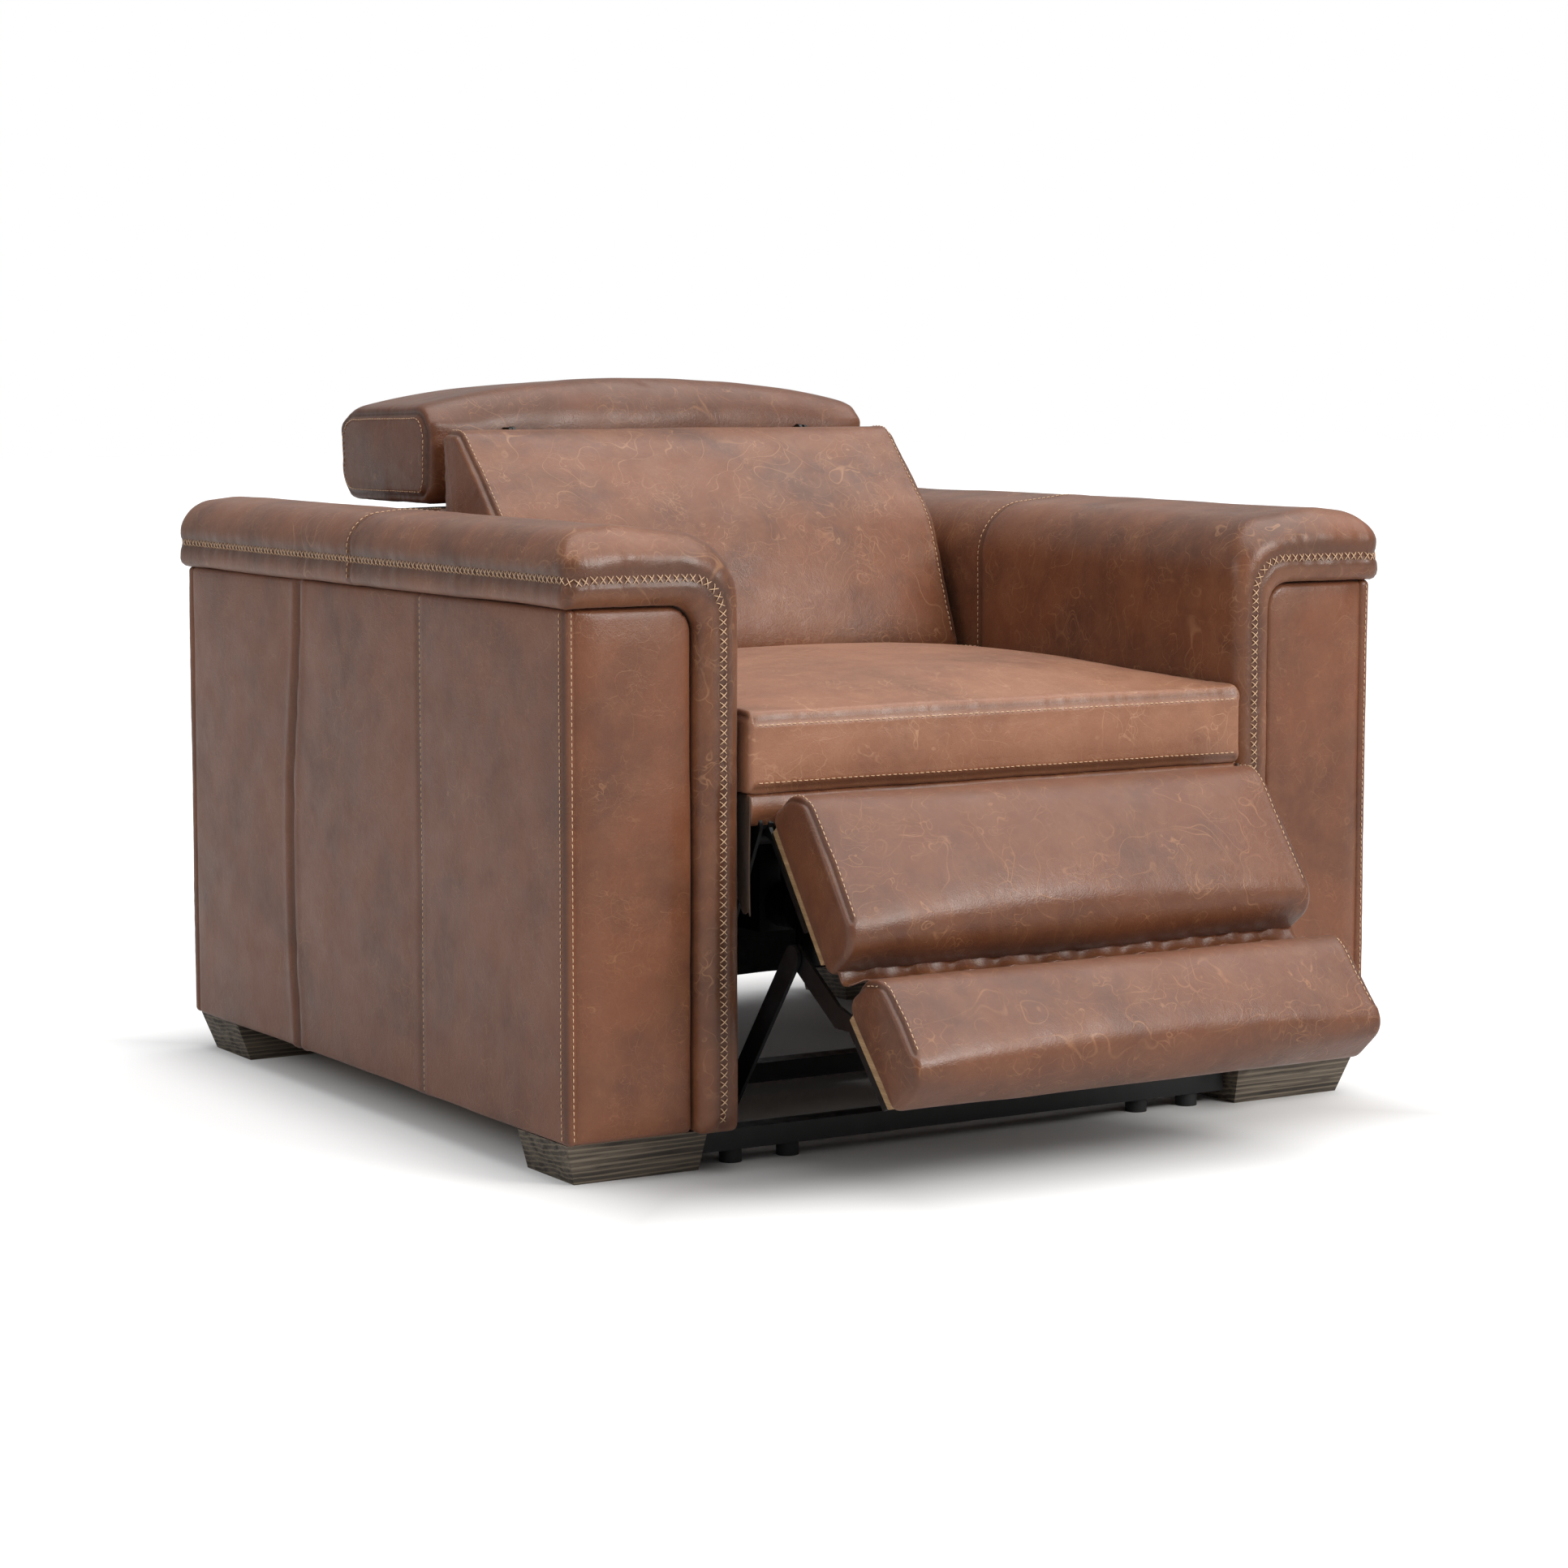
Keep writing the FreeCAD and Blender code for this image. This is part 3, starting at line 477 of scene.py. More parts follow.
# ---- materials
class Shader:
    """A small builder for node materials."""

    def __init__(self, name):
        self.material = bpy.data.materials.new(name)
        self.material.use_nodes = True
        self.tree = self.material.node_tree
        self.bsdf = self.tree.nodes["Principled BSDF"]
        self.place = self.node("ShaderNodeTexCoord").outputs["Object"]

    def node(self, kind, inputs=None, **settings):
        made = self.tree.nodes.new(kind)
        for key, value in settings.items():
            setattr(made, key, value)
        for key, value in (inputs or {}).items():
            self.set(made.inputs[key], value)
        return made

    def set(self, socket, value):
        if isinstance(value, bpy.types.NodeSocket):
            self.tree.links.new(value, socket)
        else:
            socket.default_value = value

    def finish(self, **values):
        for key, value in values.items():
            self.set(self.bsdf.inputs[key.replace("_", " ")], value)
        return self.material

    def stretch(self, scale, turn=(0, 0, 0), shift=(0, 0, 0)):
        return self.node("ShaderNodeMapping", {"Vector": self.place, "Scale": scale, "Rotation": turn,
                                               "Location": shift}).outputs[0]

    def noise(self, scale, detail=3.0, rough=0.55, vector=None, warp=0.0):
        inputs = {"Vector": vector or self.place, "Scale": scale, "Detail": detail, "Roughness": rough,
                  "Distortion": warp}
        return self.node("ShaderNodeTexNoise", inputs).outputs["Fac"]

    def remap(self, value, low, high, to_low=0.0, to_high=1.0):
        made = self.node("ShaderNodeMapRange", {"Value": value, "From Min": low, "From Max": high,
                                                "To Min": to_low, "To Max": to_high})
        made.interpolation_type = "SMOOTHSTEP"
        return made.outputs["Result"]

    def math(self, kind, a, b):
        return self.node("ShaderNodeMath", {0: a, 1: b}, operation=kind).outputs[0]

    def mix(self, share, a, b):
        return self.node("ShaderNodeMix", {0: share, 6: a, 7: b}, data_type="RGBA").outputs[2]

    def bump(self, height, strength, distance, under=None):
        inputs = {"Height": height, "Strength": strength, "Distance": distance}
        if under is not None:
            inputs["Normal"] = under
        return self.node("ShaderNodeBump", inputs).outputs[0]


def colour(red, green, blue):
    """An sRGB colour, 0 to 255, as linear values."""
    out = []
    for value in (red, green, blue):
        value /= 255
        out.append(value / 12.92 if value <= 0.04045 else ((value + 0.055) / 1.055) ** 2.4)
    return (*out, 1.0)


def leather(name, middle, dark, pale, shift):
    """Distressed pull-up leather: clouded brown with a pale network of scars and creases."""
    s = Shader(name)
    place = s.stretch((1, 1, 1), shift=shift)
    cloud = s.remap(s.noise(7.5, 5.0, 0.62, place, 0.3), 0.30, 0.62)
    drift = s.remap(s.noise(24.0, 6.0, 0.66, place, 0.5), 0.36, 0.70)
    tone = s.mix(cloud, dark, middle)
    tone = s.mix(s.math("MULTIPLY", drift, 0.34), tone, s.mix(0.35, middle, pale))
    veins = None
    layers = ((6.0, (0.4, 0.2, 0.1), (1, 0.5, 1), 0.014), (9.5, (0.9, 1.1, 0.5), (1, 0.45, 0.8), 0.020),
              (15.0, (2.0, 0.3, 1.4), (0.7, 1, 0.5), 0.028))
    for index, (scale, turn, stretch, width) in enumerate(layers):
        cloudy = {"Vector": place, "Scale": 7.0 + 5 * index, "Detail": 2.0}
        bent = s.node("ShaderNodeTexNoise", cloudy).outputs["Color"]
        wander = s.node("ShaderNodeVectorMath", {0: bent, "Scale": 0.05}, operation="SCALE").outputs[0]
        swirled = s.node("ShaderNodeVectorMath", {0: s.stretch(stretch, turn, shift), 1: bent, 2: wander},
                         operation="MULTIPLY_ADD").outputs[0]
        cells = s.node("ShaderNodeTexVoronoi", {"Vector": swirled, "Scale": scale},
                       feature="DISTANCE_TO_EDGE")
        line = s.remap(cells.outputs["Distance"], width, 0.0)
        patch = s.remap(s.noise(9.0 + 5 * index, 4.0, 0.6, place), 0.44, 0.66)
        line = s.math("MULTIPLY", line, patch)
        veins = line if veins is None else s.math("MAXIMUM", veins, line)
    haze = s.remap(s.noise(34.0, 6.0, 0.7, place, 1.2), 0.52, 0.72)
    scars = s.math("ADD", s.math("MULTIPLY", veins, 0.55), s.math("MULTIPLY", haze, 0.07))
    tone = s.mix(scars, tone, pale)
    fleck = s.remap(s.noise(230.0, 3.0, 0.6, place), 0.35, 0.65)
    tone = s.mix(s.math("MULTIPLY", fleck, 0.14), tone, dark)
    # painted shade: the seam layer darkens the leather in and beside the seam grooves
    seam = s.node("ShaderNodeAttribute", attribute_name="seam").outputs["Fac"]
    tone = s.mix(s.math("MULTIPLY", seam, 0.6), tone, (*[v * 0.42 for v in dark[:3]], 1.0))
    grain = s.node("ShaderNodeTexVoronoi", {"Vector": place, "Scale": 620.0})
    pores = s.remap(grain.outputs["Distance"], 0.1, 0.75)
    rough = s.remap(s.noise(26.0, 4.0, 0.6, place), 0.3, 0.7, 0.34, 0.46)
    creases = s.noise(85.0, 4.0, 0.62, place, 0.9)
    under = s.bump(creases, 0.22, 0.0022)
    under = s.bump(veins, 0.18, 0.0005, under)
    normal = s.bump(pores, 0.20, 0.0004, under)
    return s.finish(Base_Color=tone, Roughness=rough, Normal=normal, Sheen_Weight=0.08, Sheen_Roughness=0.45,
                    Specular_IOR_Level=0.5, Coat_Weight=0.10, Coat_Roughness=0.30)


CUSHION = leather("cushion_leather", colour(127, 75, 46), colour(94, 56, 37), colour(182, 134, 96),
                  (0.3, 0.1, 0.7))
# The seat leather is the cushion leather painted paler: the overhead light on the seat top is painted into
# its colour.
SEAT_LIT_COPY = leather("seat_leather_lit_copy", colour(156, 104, 76), colour(132, 86, 62), colour(198, 152, 116),
               (0.3, 0.4, 0.7))
PAD = leather("pad_leather", colour(111, 63, 37), colour(91, 52, 32), colour(164, 116, 78), (0.9, 0.1, 0.2))
PANEL = leather("panel_leather", colour(121, 70, 43), colour(97, 56, 36), colour(158, 111, 75),
                (1.7, 2.3, 0.4))
FLAP = leather("flap_leather", colour(84, 60, 44), colour(52, 37, 28), colour(120, 92, 66), (4.1, 0.6, 1.9))


def thread_material():
    s = Shader("thread")
    twist = s.node("ShaderNodeTexWave", {"Vector": s.place, "Scale": 900.0, "Distortion": 2.0})
    tone = s.mix(twist.outputs["Fac"], colour(206, 166, 130), colour(232, 198, 164))
    return s.finish(Base_Color=tone, Roughness=s.remap(s.noise(300.0), 0.3, 0.7, 0.6, 0.8),
                    Normal=s.bump(twist.outputs["Fac"], 0.3, 0.0003))


def oak_material():
    s = Shader("weathered_oak")
    long_grain = s.stretch((5.0, 60.0, 90.0))
    streak = s.noise(1.0, 6.0, 0.65, long_grain, 0.7)
    banding = {"Vector": s.stretch((2.0, 10.0, 26.0), (0.25, 0.1, 0.0)), "Scale": 2.2, "Distortion": 5.5,
               "Detail": 3.0}
    rings = s.node("ShaderNodeTexWave", banding, bands_direction="Z").outputs["Fac"]
    tone = s.mix(s.remap(streak, 0.35, 0.68), colour(58, 51, 45), colour(104, 93, 80))
    tone = s.mix(s.math("MULTIPLY", s.remap(rings, 0.55, 0.95), 0.55), tone, colour(142, 129, 110))
    pore = s.remap(s.noise(1.0, 3.0, 0.6, s.stretch((22.0, 420.0, 420.0))), 0.60, 0.70)
    tone = s.mix(s.math("MULTIPLY", pore, 0.75), tone, colour(30, 26, 23))
    under = s.bump(streak, 0.35, 0.0012)
    return s.finish(Base_Color=tone, Roughness=s.remap(streak, 0.3, 0.7, 0.78, 0.58),
                    Normal=s.bump(pore, 0.5, 0.0006, under))


def steel_material(name, base, edge, metal, rough):
    s = Shader(name)
    peel = s.noise(420.0, 3.0, 0.6)
    wear = s.remap(s.noise(38.0, 5.0, 0.65), 0.55, 0.75)
    tone = s.mix(s.math("MULTIPLY", wear, 0.35), base, edge)
    return s.finish(Base_Color=tone, Roughness=s.remap(s.noise(60.0, 4.0), 0.3, 0.7, rough, rough + 0.16),
                    Normal=s.bump(peel, 0.12, 0.0004), Metallic=metal)


def plywood_material():
    s = Shader("plywood")
    streak = s.noise(1.0, 5.0, 0.6, s.stretch((6.0, 6.0, 120.0)), 0.5)
    plies = s.node("ShaderNodeTexWave", {"Vector": s.place, "Scale": 110.0, "Distortion": 1.0},
                   bands_direction="Z").outputs["Fac"]
    tone = s.mix(s.remap(streak, 0.3, 0.7), colour(150, 118, 82), colour(186, 152, 112))
    tone = s.mix(s.math("MULTIPLY", plies, 0.25), tone, colour(120, 90, 60))
    return s.finish(Base_Color=tone, Roughness=s.remap(streak, 0.3, 0.7, 0.6, 0.8),
                    Normal=s.bump(streak, 0.2, 0.0006))


def plastic_material(name, tone_a, tone_b, rough):
    s = Shader(name)
    cells = s.node("ShaderNodeTexVoronoi", {"Vector": s.place, "Scale": 900.0}).outputs["Distance"]
    tone = s.mix(s.remap(s.noise(45.0, 3.0), 0.35, 0.65), tone_a, tone_b)
    return s.finish(Base_Color=tone, Roughness=s.remap(s.noise(90.0), 0.3, 0.7, rough, rough + 0.12),
                    Normal=s.bump(cells, 0.15, 0.0003))


def cloth_material():
    s = Shader("black_cloth")
    weave = s.node("ShaderNodeTexChecker", {"Vector": s.place, "Scale": 900.0}).outputs["Fac"]
    tone = s.mix(s.remap(s.noise(60.0, 4.0), 0.3, 0.7), colour(14, 14, 14), colour(26, 26, 27))
    return s.finish(Base_Color=tone, Roughness=s.remap(s.noise(80.0), 0.3, 0.7, 0.85, 0.95),
                    Normal=s.bump(weave, 0.3, 0.0003))


THREAD = thread_material()
CLOTH = cloth_material()
SLOT_MATERIALS = {
    "oak": oak_material(),
    "plywood": plywood_material(),
    "black_steel": steel_material("black_steel", colour(17, 17, 18), colour(38, 38, 40), 0.25, 0.34),
    "zinc_steel": steel_material("zinc_steel", colour(150, 150, 148), colour(184, 184, 180), 0.95, 0.28),
    "spring_steel": steel_material("spring_steel", colour(96, 94, 90), colour(140, 136, 128), 0.95, 0.34),
    "rubber": plastic_material("rubber", colour(18, 18, 18), colour(30, 30, 31), 0.68),
    "black_plastic": plastic_material("black_plastic", colour(16, 16, 17), colour(27, 27, 28), 0.40),
    "cushion_leather": CUSHION,
    "panel_leather": PANEL,
}


def paint_nodes():
    """Give each CAD node the material of its slot, which its CAD material is named after."""
    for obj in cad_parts.values():
        slot = obj.data.materials[0].name.split(".")[0]
        for place in obj.material_slots:
            place.material = SLOT_MATERIALS[slot]


paint_nodes()


# ---- bodies, thread and hidden CAD nodes
def declare(piece, body, nodes, threads=None):
    """Attach a padded piece to the body it rides on, finish its thread, and hide the CAD nodes it stands in
    for.
    """
    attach(piece, body)
    if threads:
        threads.finish()
    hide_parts(*nodes)


def dress(obj, body, nodes, seams, stitches, name):
    """Seams, thread and body of one padded piece, with the CAD nodes it stands in for hidden."""
    tree = surface(obj)
    found = [(seam_line(tree, line), settings) for line, settings in seams]
    for line, settings in found:
        crease(obj, line, **settings)
    threads = Threads(name, obj) if stitches else None
    for line in stitches:
        threads.run(line)
    declare(obj, body, nodes, threads)


# ---- arms
CROSS_SEAM_DEPTH = 503  # the seam over the arm
STITCHED_SEAM_DEPTH = 342  # the side panel's straight seam
FOLD_DEPTH = 690  # the side panel's deep seam, which leans forward at its top
STITCH_OFFSET = 5.0  # from a seam to the topstitching beside it


def arm_roll(side, name):
    """The arm's top and inner padding with its rolled front edge, as one leather cover."""
    shoulder, foot, leg = PANEL_HEAD + 1, 45, PANEL_INNER - 1
    outline = [(ROLL_OUTER, shoulder), (ROLL_OUTER, 684), (462, 692), (ROLL_INNER, 677), (ROLL_INNER, foot),
               (leg, foot), (leg, shoulder)]
    radii = [9, 42, 120, 68, 8, 8, 28]
    loop, out = rounded_loop(outline, radii, 4.6)
    count = len(loop)
    up, down = np.maximum(out[:, 1], 0) ** 2, np.maximum(-out[:, 1], 0) ** 2
    away, towards = np.maximum(out[:, 0], 0) ** 2, np.maximum(-out[:, 0], 0) ** 2
    depth = 46 * up + 18 * down + 20 * away + 26 * towards
    path = even_line([(x, 0, z) for x, _, z in front_seam()], 2.0)[:, [0, 2]]
    gap = np.linalg.norm(loop[:, None, :] - path[None, :, :], axis=2)
    inset = (path[gap.argmin(axis=1)] - loop) * 0.9
    rear_inset = 15.0
    rows = []
    turns, steps, rear_turns = 12, 190, 5
    for turn in range(turns + 1):
        angle = math.pi / 2 * (1 - turn / turns)
        ring = loop + inset * (1 - math.cos(angle))
        rows.append(np.column_stack([ring[:, 0], ROLL_FACE + depth * (1 - math.sin(angle)), ring[:, 1]]))
    front_end = rows[-1][:, 1]
    rear_end = ARM_REAR - rear_inset
    for step in range(1, steps):
        share = step / steps
        rows.append(np.column_stack([loop[:, 0], front_end * (1 - share) + rear_end * share, loop[:, 1]]))
    for turn in range(rear_turns + 1):
        angle = math.pi / 2 * turn / rear_turns
        ring = loop + inset * 0.5 * (1 - math.cos(angle))
        back = np.full(count, rear_end + rear_inset * math.sin(angle))
        rows.append(np.column_stack([ring[:, 0], back, ring[:, 1]]))
    points = np.concatenate(rows)
    faces = ring_faces(len(rows), count)
    faces.append(tuple(range(count)))
    faces.append(tuple(range((len(rows) - 1) * count, len(rows) * count)))
    points[:, 0] *= side
    obj = mesh_object(name, points, faces, CUSHION)
    edit_mesh(obj.data, split_large_faces)
    return obj


def arc(centre, radius, first, last, count):
    """Points on part of a circle, with its angles in degrees."""
    turns = np.radians(np.linspace(first, last, count))
    return [(centre[0] + radius * math.cos(turn), centre[1] + radius * math.sin(turn)) for turn in turns]


def front_seam():
    """The seam on the roll's front: up beside the front panel and across above it."""
    bend = 40
    line = [(SEAM_X, ROLL_FACE, z) for z in np.arange(70, 596, 10)]
    line += [(x, ROLL_FACE, z) for x, z in arc((SEAM_X + bend, SEAM_Z - bend), bend, 180, 90, 10)]
    return line + [(x, ROLL_FACE, SEAM_Z) for x in np.arange(400, 513, 8)]


def roll_seam(side):
    """The cross-stitched line: up the front of the inner roll, across the front and back along the side."""
    bend = 18
    line = [(SEAM_X, ROLL_FACE, 54)] + front_seam()
    line += [(x, d, SEAM_Z) for x, d in arc((ROLL_OUTER - bend, ROLL_FACE + bend), bend, -90, 0, 6)]
    line += [(ROLL_OUTER, d, SEAM_Z) for d in np.arange(8, 1006, 12)]
    return np.array(line) * np.array([side, 1, 1])


def cross_seam(side):
    """The seam over the arm, part way back."""
    profile = [(ROLL_OUTER, 612), (ROLL_OUTER, 645), (524, 675), (500, 688), (462, 691), (390, 683),
               (350, 665), (332, 640), (ROLL_INNER, 600), (ROLL_INNER, 430)]
    return [(side * x, CROSS_SEAM_DEPTH, z) for x, z in profile]


def fold_depth(z):
    """The depth of the side panel's deep seam at a height."""
    return FOLD_DEPTH - 28 * smooth(z, 300, PANEL_HEAD) - 11 * smooth(-z, -200, -45)


def make_roll(side, name, seed):
    mirror = np.array([side, 1, 1])
    roll = arm_roll(side, "arm_roll_" + name)
    soften(roll, 170.0, 1.3, seed)
    tree = surface(roll)
    seam = seam_line(tree, roll_seam(side))
    over = seam_line(tree, cross_seam(side))
    crease(roll, seam, depth=2.6, width=9.0, pucker=0.0, seed=seed)
    crease(roll, seam, depth=2.4, width=3.2, pucker=2.0, reach=10.0, period=12.0, seed=seed)
    crease(roll, over, depth=1.8, width=3.2, pucker=0.5, reach=12.0, period=20.0, seed=seed + 1)
    gathered = [(x, ROLL_FACE, 644) for x in range(396, 520, 6)] + [(532, -14, 644), (ROLL_OUTER, 2, 644)]
    crease(roll, seam_line(tree, np.array(gathered, float) * mirror, 2.5), depth=1.0, width=9.0,
           pucker=3.4, reach=17.0, period=15.0, seed=seed + 4)
    corner = np.array([(533, -15, PANEL_HEAD), (533, -15, 630)]) * mirror
    crease(roll, seam_line(tree, corner, 2.0), depth=1.2, width=2.5, pucker=0.0, seed=seed + 2)
    threads = Threads("roll_thread_" + name, roll)
    threads.cross(seam)
    threads.run(over + np.array([0, STITCH_OFFSET, 0]))
    declare(roll, "base", ["arm_top_pad_" + name, "arm_inner_pad_" + name], threads)


def make_side_panel(side, name, seed):
    panel = slab("side_skin_" + name, (side * 516.2, -3, PANEL_FOOT),
                 (side * PANEL_OUTER, 984.5, PANEL_HEAD), PANEL, 6.0, 6.5)
    points = coords(panel)
    d, z = points[:, 1], points[:, 2]
    outer = smooth(np.abs(points[:, 0]), 522, 529)
    swell = np.zeros(len(points))
    fold = fold_depth(z)
    for low, high in ((0.0, STITCHED_SEAM_DEPTH), (STITCHED_SEAM_DEPTH, fold), (fold, 984.0)):
        share = np.clip((d - low) / (high - low), 0, 1)
        swell += 3.2 * np.sin(math.pi * share) ** 0.6 * ((d >= low) & (d < high))
    swell *= swelling(PANEL_HEAD - z, 60) * swelling(z - 45, 60)
    points[:, 0] += side * swell * outer
    set_coords(panel, points)
    soften(panel, 210.0, 1.0, seed + 7)
    tree = surface(panel)
    face = side * (PANEL_OUTER + 1)
    heights = (48, 200, 400, 604)
    stitched = seam_line(tree, [(face, STITCHED_SEAM_DEPTH, z) for z in heights])
    fold = seam_line(tree, [(face, float(fold_depth(z)), z) for z in np.arange(48, 606, 12.0)])
    edge = seam_line(tree, [(face, 2.0, z) for z in heights])
    crease(panel, stitched, depth=1.6, width=3.2, pucker=0.35, reach=14.0, period=26.0, seed=seed + 8)
    crease(panel, fold, depth=5.5, width=5.0, pucker=0.8, reach=30.0, period=60.0, seed=seed + 9)
    crease(panel, edge, depth=1.0, width=2.6, pucker=0.25, reach=10.0, period=18.0, seed=seed + 10)
    threads = Threads("side_thread_" + name, panel)
    threads.run(stitched - np.array([0, STITCH_OFFSET, 0]))
    threads.run(edge + np.array([0, 7.0, 0]))
    threads.run(edge + np.array([-side * 7.0, -7.0, 0]))
    declare(panel, "base", ["side_panel_" + name], threads)


def make_front_panel(side, name, seed):
    """The padded front panel, with its upper inner corner rounded."""
    front = slab("front_skin_" + name, (side * PANEL_INNER, -1, PANEL_FOOT), (side * 522, 14, PANEL_HEAD),
                 PANEL, 6.0, 7.0)
    points = coords(front)
    x, z = np.abs(points[:, 0]), points[:, 2]
    radius = 28.0
    dx, dz = PANEL_INNER + radius - x, z - (PANEL_HEAD - radius)
    inside = (dx > 0) & (dz > 0)
    length = np.hypot(dx, dz)
    share = np.where(inside, np.maximum(dx, dz) / np.maximum(length, 1e-6), 1.0)
    x = np.where(inside, PANEL_INNER + radius - dx * share, x)
    z = np.where(inside, PANEL_HEAD - radius + dz * share, z)
    face = smooth(-points[:, 1], -6, 0)
    swell = 6.5 * swelling(x - PANEL_INNER, 30, 0.6) * swelling(515.5 - x, 22, 0.6)
    swell *= swelling(PANEL_HEAD - z, 38) * swelling(z - 45, 22)
    points[:, 0], points[:, 2] = side * x, z
    points[:, 1] -= swell * face
    set_coords(front, points)
    soften(front, 120.0, 0.8, seed + 12)
    declare(front, "base", ["front_panel_" + name])


def make_rear_panel(side, name, seed):
    rear = slab("arm_rear_skin_" + name, (side * PANEL_INNER, 985, PANEL_FOOT),
                (side * PANEL_OUTER, 999, PANEL_HEAD), PANEL, 7.0, 6.0)
    points = coords(rear)
    x, z = np.abs(points[:, 0]), points[:, 2]
    swell = 5.0 * swelling(x - PANEL_INNER, 30, 0.6) * swelling(PANEL_OUTER - x, 30, 0.6)
    swell *= swelling(PANEL_HEAD - z, 38) * swelling(z - 45, 30)
    points[:, 1] += swell * smooth(points[:, 1], 992, 998)
    set_coords(rear, points)
    soften(rear, 150.0, 0.8, seed + 14)
    line = seam_line(surface(rear), [(side * 520, 1000, 50), (side * 520, 1000, 600)])
    crease(rear, line, depth=1.4, width=3.0, pucker=0.3, seed=seed + 15)
    threads = Threads("rear_thread_" + name, rear)
    threads.run(line - np.array([side * STITCH_OFFSET, 0, 0]))
    declare(rear, "base", ["arm_rear_panels"], threads)


for arm_side, arm_name, arm_seed in ((-1, "left", 11), (1, "right", 23)):
    make_roll(arm_side, arm_name, arm_seed)
    make_side_panel(arm_side, arm_name, arm_seed)
    make_front_panel(arm_side, arm_name, arm_seed)
    make_rear_panel(arm_side, arm_name, arm_seed)


# ---- seat
def make_seat():
    half, front = SEAT_HALF, -27
    corners = [(front, 405), (511, 405), (511, 500), (front, 490)]
    seat = bolster("seat_skin", corners, [9, 9, 22, 13], half, SEAT_LIT_COPY, cap_radius=6.0, cap_bulge=0.5)
    points = coords(seat)
    x, d, z = points.T
    top = smooth(z, 470, 492)
    arch = 1 - np.abs(x / half) ** 2.6
    dome = 27 * arch * hump(d, -30, 560, 0.55)
    points[:, 2] += top * (dome * smooth(d, -24, 60) + 4)
    set_coords(seat, points)
    near_seam = (np.abs(points[:, 1] - front) < 12) & (np.abs(points[:, 2] - 487) < 9)
    held = near_seam | (points[:, 2] < 412) | (points[:, 1] > 490) | (np.abs(points[:, 0]) > half - 5)
    inflate(seat, held, pressure=3.0, cap=14.0)
    subdivide(seat)
    soften(seat, 140.0, 1.4, 31)
    points = coords(seat)
    x, d, z = points.T
    face = smooth(-d, 8, 20) * smooth(z, 415, 440) * smooth(-z, -480, -460)
    upright = np.column_stack([x, d * 0.0, z * 0.18])
    ripple = noise(upright, 17.0, 33) * (0.4 + 0.6 * smooth(noise(points, 120, 34), 0, 0.7))
    points[:, 1] -= face * ripple
    set_coords(seat, points)
    xs = np.arange(-half + 8, half - 7, 8.0)
    top_line = [(v, -32, 487) for v in xs]
    low_line = [(v, -32, 408) for v in xs]
    rear_line = [(v, 506, 520) for v in xs]
    side_lines = [[(s * (half + 6), d, 489) for d in np.arange(-20, 480, 12.0)] for s in (-1, 1)]
    settings = {"depth": 2.6, "width": 3.0, "pucker": 0.8, "reach": 12.0, "period": 16.0}
    seams = [(top_line, {**settings, "seed": 35}), (low_line, {**settings, "pucker": 0.5, "seed": 36}),
             (rear_line, {**settings, "seed": 37})]
    seams += [(line, {**settings, "seed": 38}) for line in side_lines]
    stitches = [[(v, -34, 479) for v in xs], [(v, -34, 416) for v in xs], [(v, 499, 522) for v in xs]]
    dress(seat, "base", ["seat_cushion"], seams, stitches, "seat_thread")


make_seat()


# ---- back and headrest
SHELL_HALF = 314  # half the width of the outer back


def make_back_cushion():
    half = BACK_HALF
    corners = [(525, 502), (585, 668), (688, 776), (728, 776), (728, 432), (566, 432)]
    radii = [24, 70, 22, 12, 12, 20]
    back = bolster("back_skin", corners, radii, half, CUSHION, spacing=7.5, cap_radius=12.0)
    points = coords(back)
    x, d, z = points.T
    facing = smooth(-(d - 0.62 * (z - 500)), -600, -545)
    arch = 1 - np.abs(x / half) ** 3
    bulge = 13 * arch * facing * hump(z, 470, 320, 0.7)
    points[:, 1] -= bulge * 0.82
    points[:, 2] += bulge * 0.5
    set_coords(back, points)
    held = (points[:, 1] > 700) | (points[:, 2] < 470) | (np.abs(np.abs(points[:, 0]) - half) < 9)
    inflate(back, held, pressure=3.0, cap=14.0)
    subdivide(back)
    soften(back, 150.0, 1.6, 41)
    seams, stitches = [], []
    edge = [(528, 520), (582, 671), (636, 729), (686, 776), (727, 776)]
    settings = {"depth": 2.6, "width": 3.0, "pucker": 0.9, "reach": 13.0, "period": 16.0}
    for s in (-1, 1):
        seams.append(([(s * (half - 2), d, z) for d, z in edge], {**settings, "seed": 43 + s}))
        stitches.append([(s * (half - 9), d - 4, z + 4) for d, z in edge])
        seams.append(([(s * (half + 4), 722, z) for z in (500, 776)], {**settings, "seed": 46 + s}))
    dress(back, "back", ["back_cushion"], seams, stitches, "back_thread")


def make_ledge():
    """The top of the outer back, on which the headrest lies."""
    corners = [(730, 666), (730, 681), (1001, 671), (1001, 656.5)]
    ledge = bolster("back_top_skin", corners, [6, 6, 7, 6], SHELL_HALF, PANEL, spacing=6.0, cap_radius=6.0,
                    cap_bulge=0.5)
    points = coords(ledge)
    rise = 4 * (1 - np.abs(points[:, 0] / SHELL_HALF) ** 6) * hump(points[:, 1], 728, 275, 0.5)
    points[:, 2] += rise * smooth(points[:, 2], 664, 672)
    set_coords(ledge, points)
    soften(ledge, 120.0, 0.7, 51)
    sides = [[(s * (SHELL_HALF - 1), d, 682) for d in (735, 998)] for s in (-1, 1)]
    seams = [(line, {"depth": 1.2, "width": 2.6, "pucker": 0.3, "seed": 52}) for line in sides]
    stitches = [[(s * 305, d, 682) for d in (740, 996)] for s in (-1, 1)]
    stitches.append([(x, 994, 680) for x in (-304, 304)])
    dress(ledge, "back", ["back_top_panel"], seams, stitches, "ledge_thread")


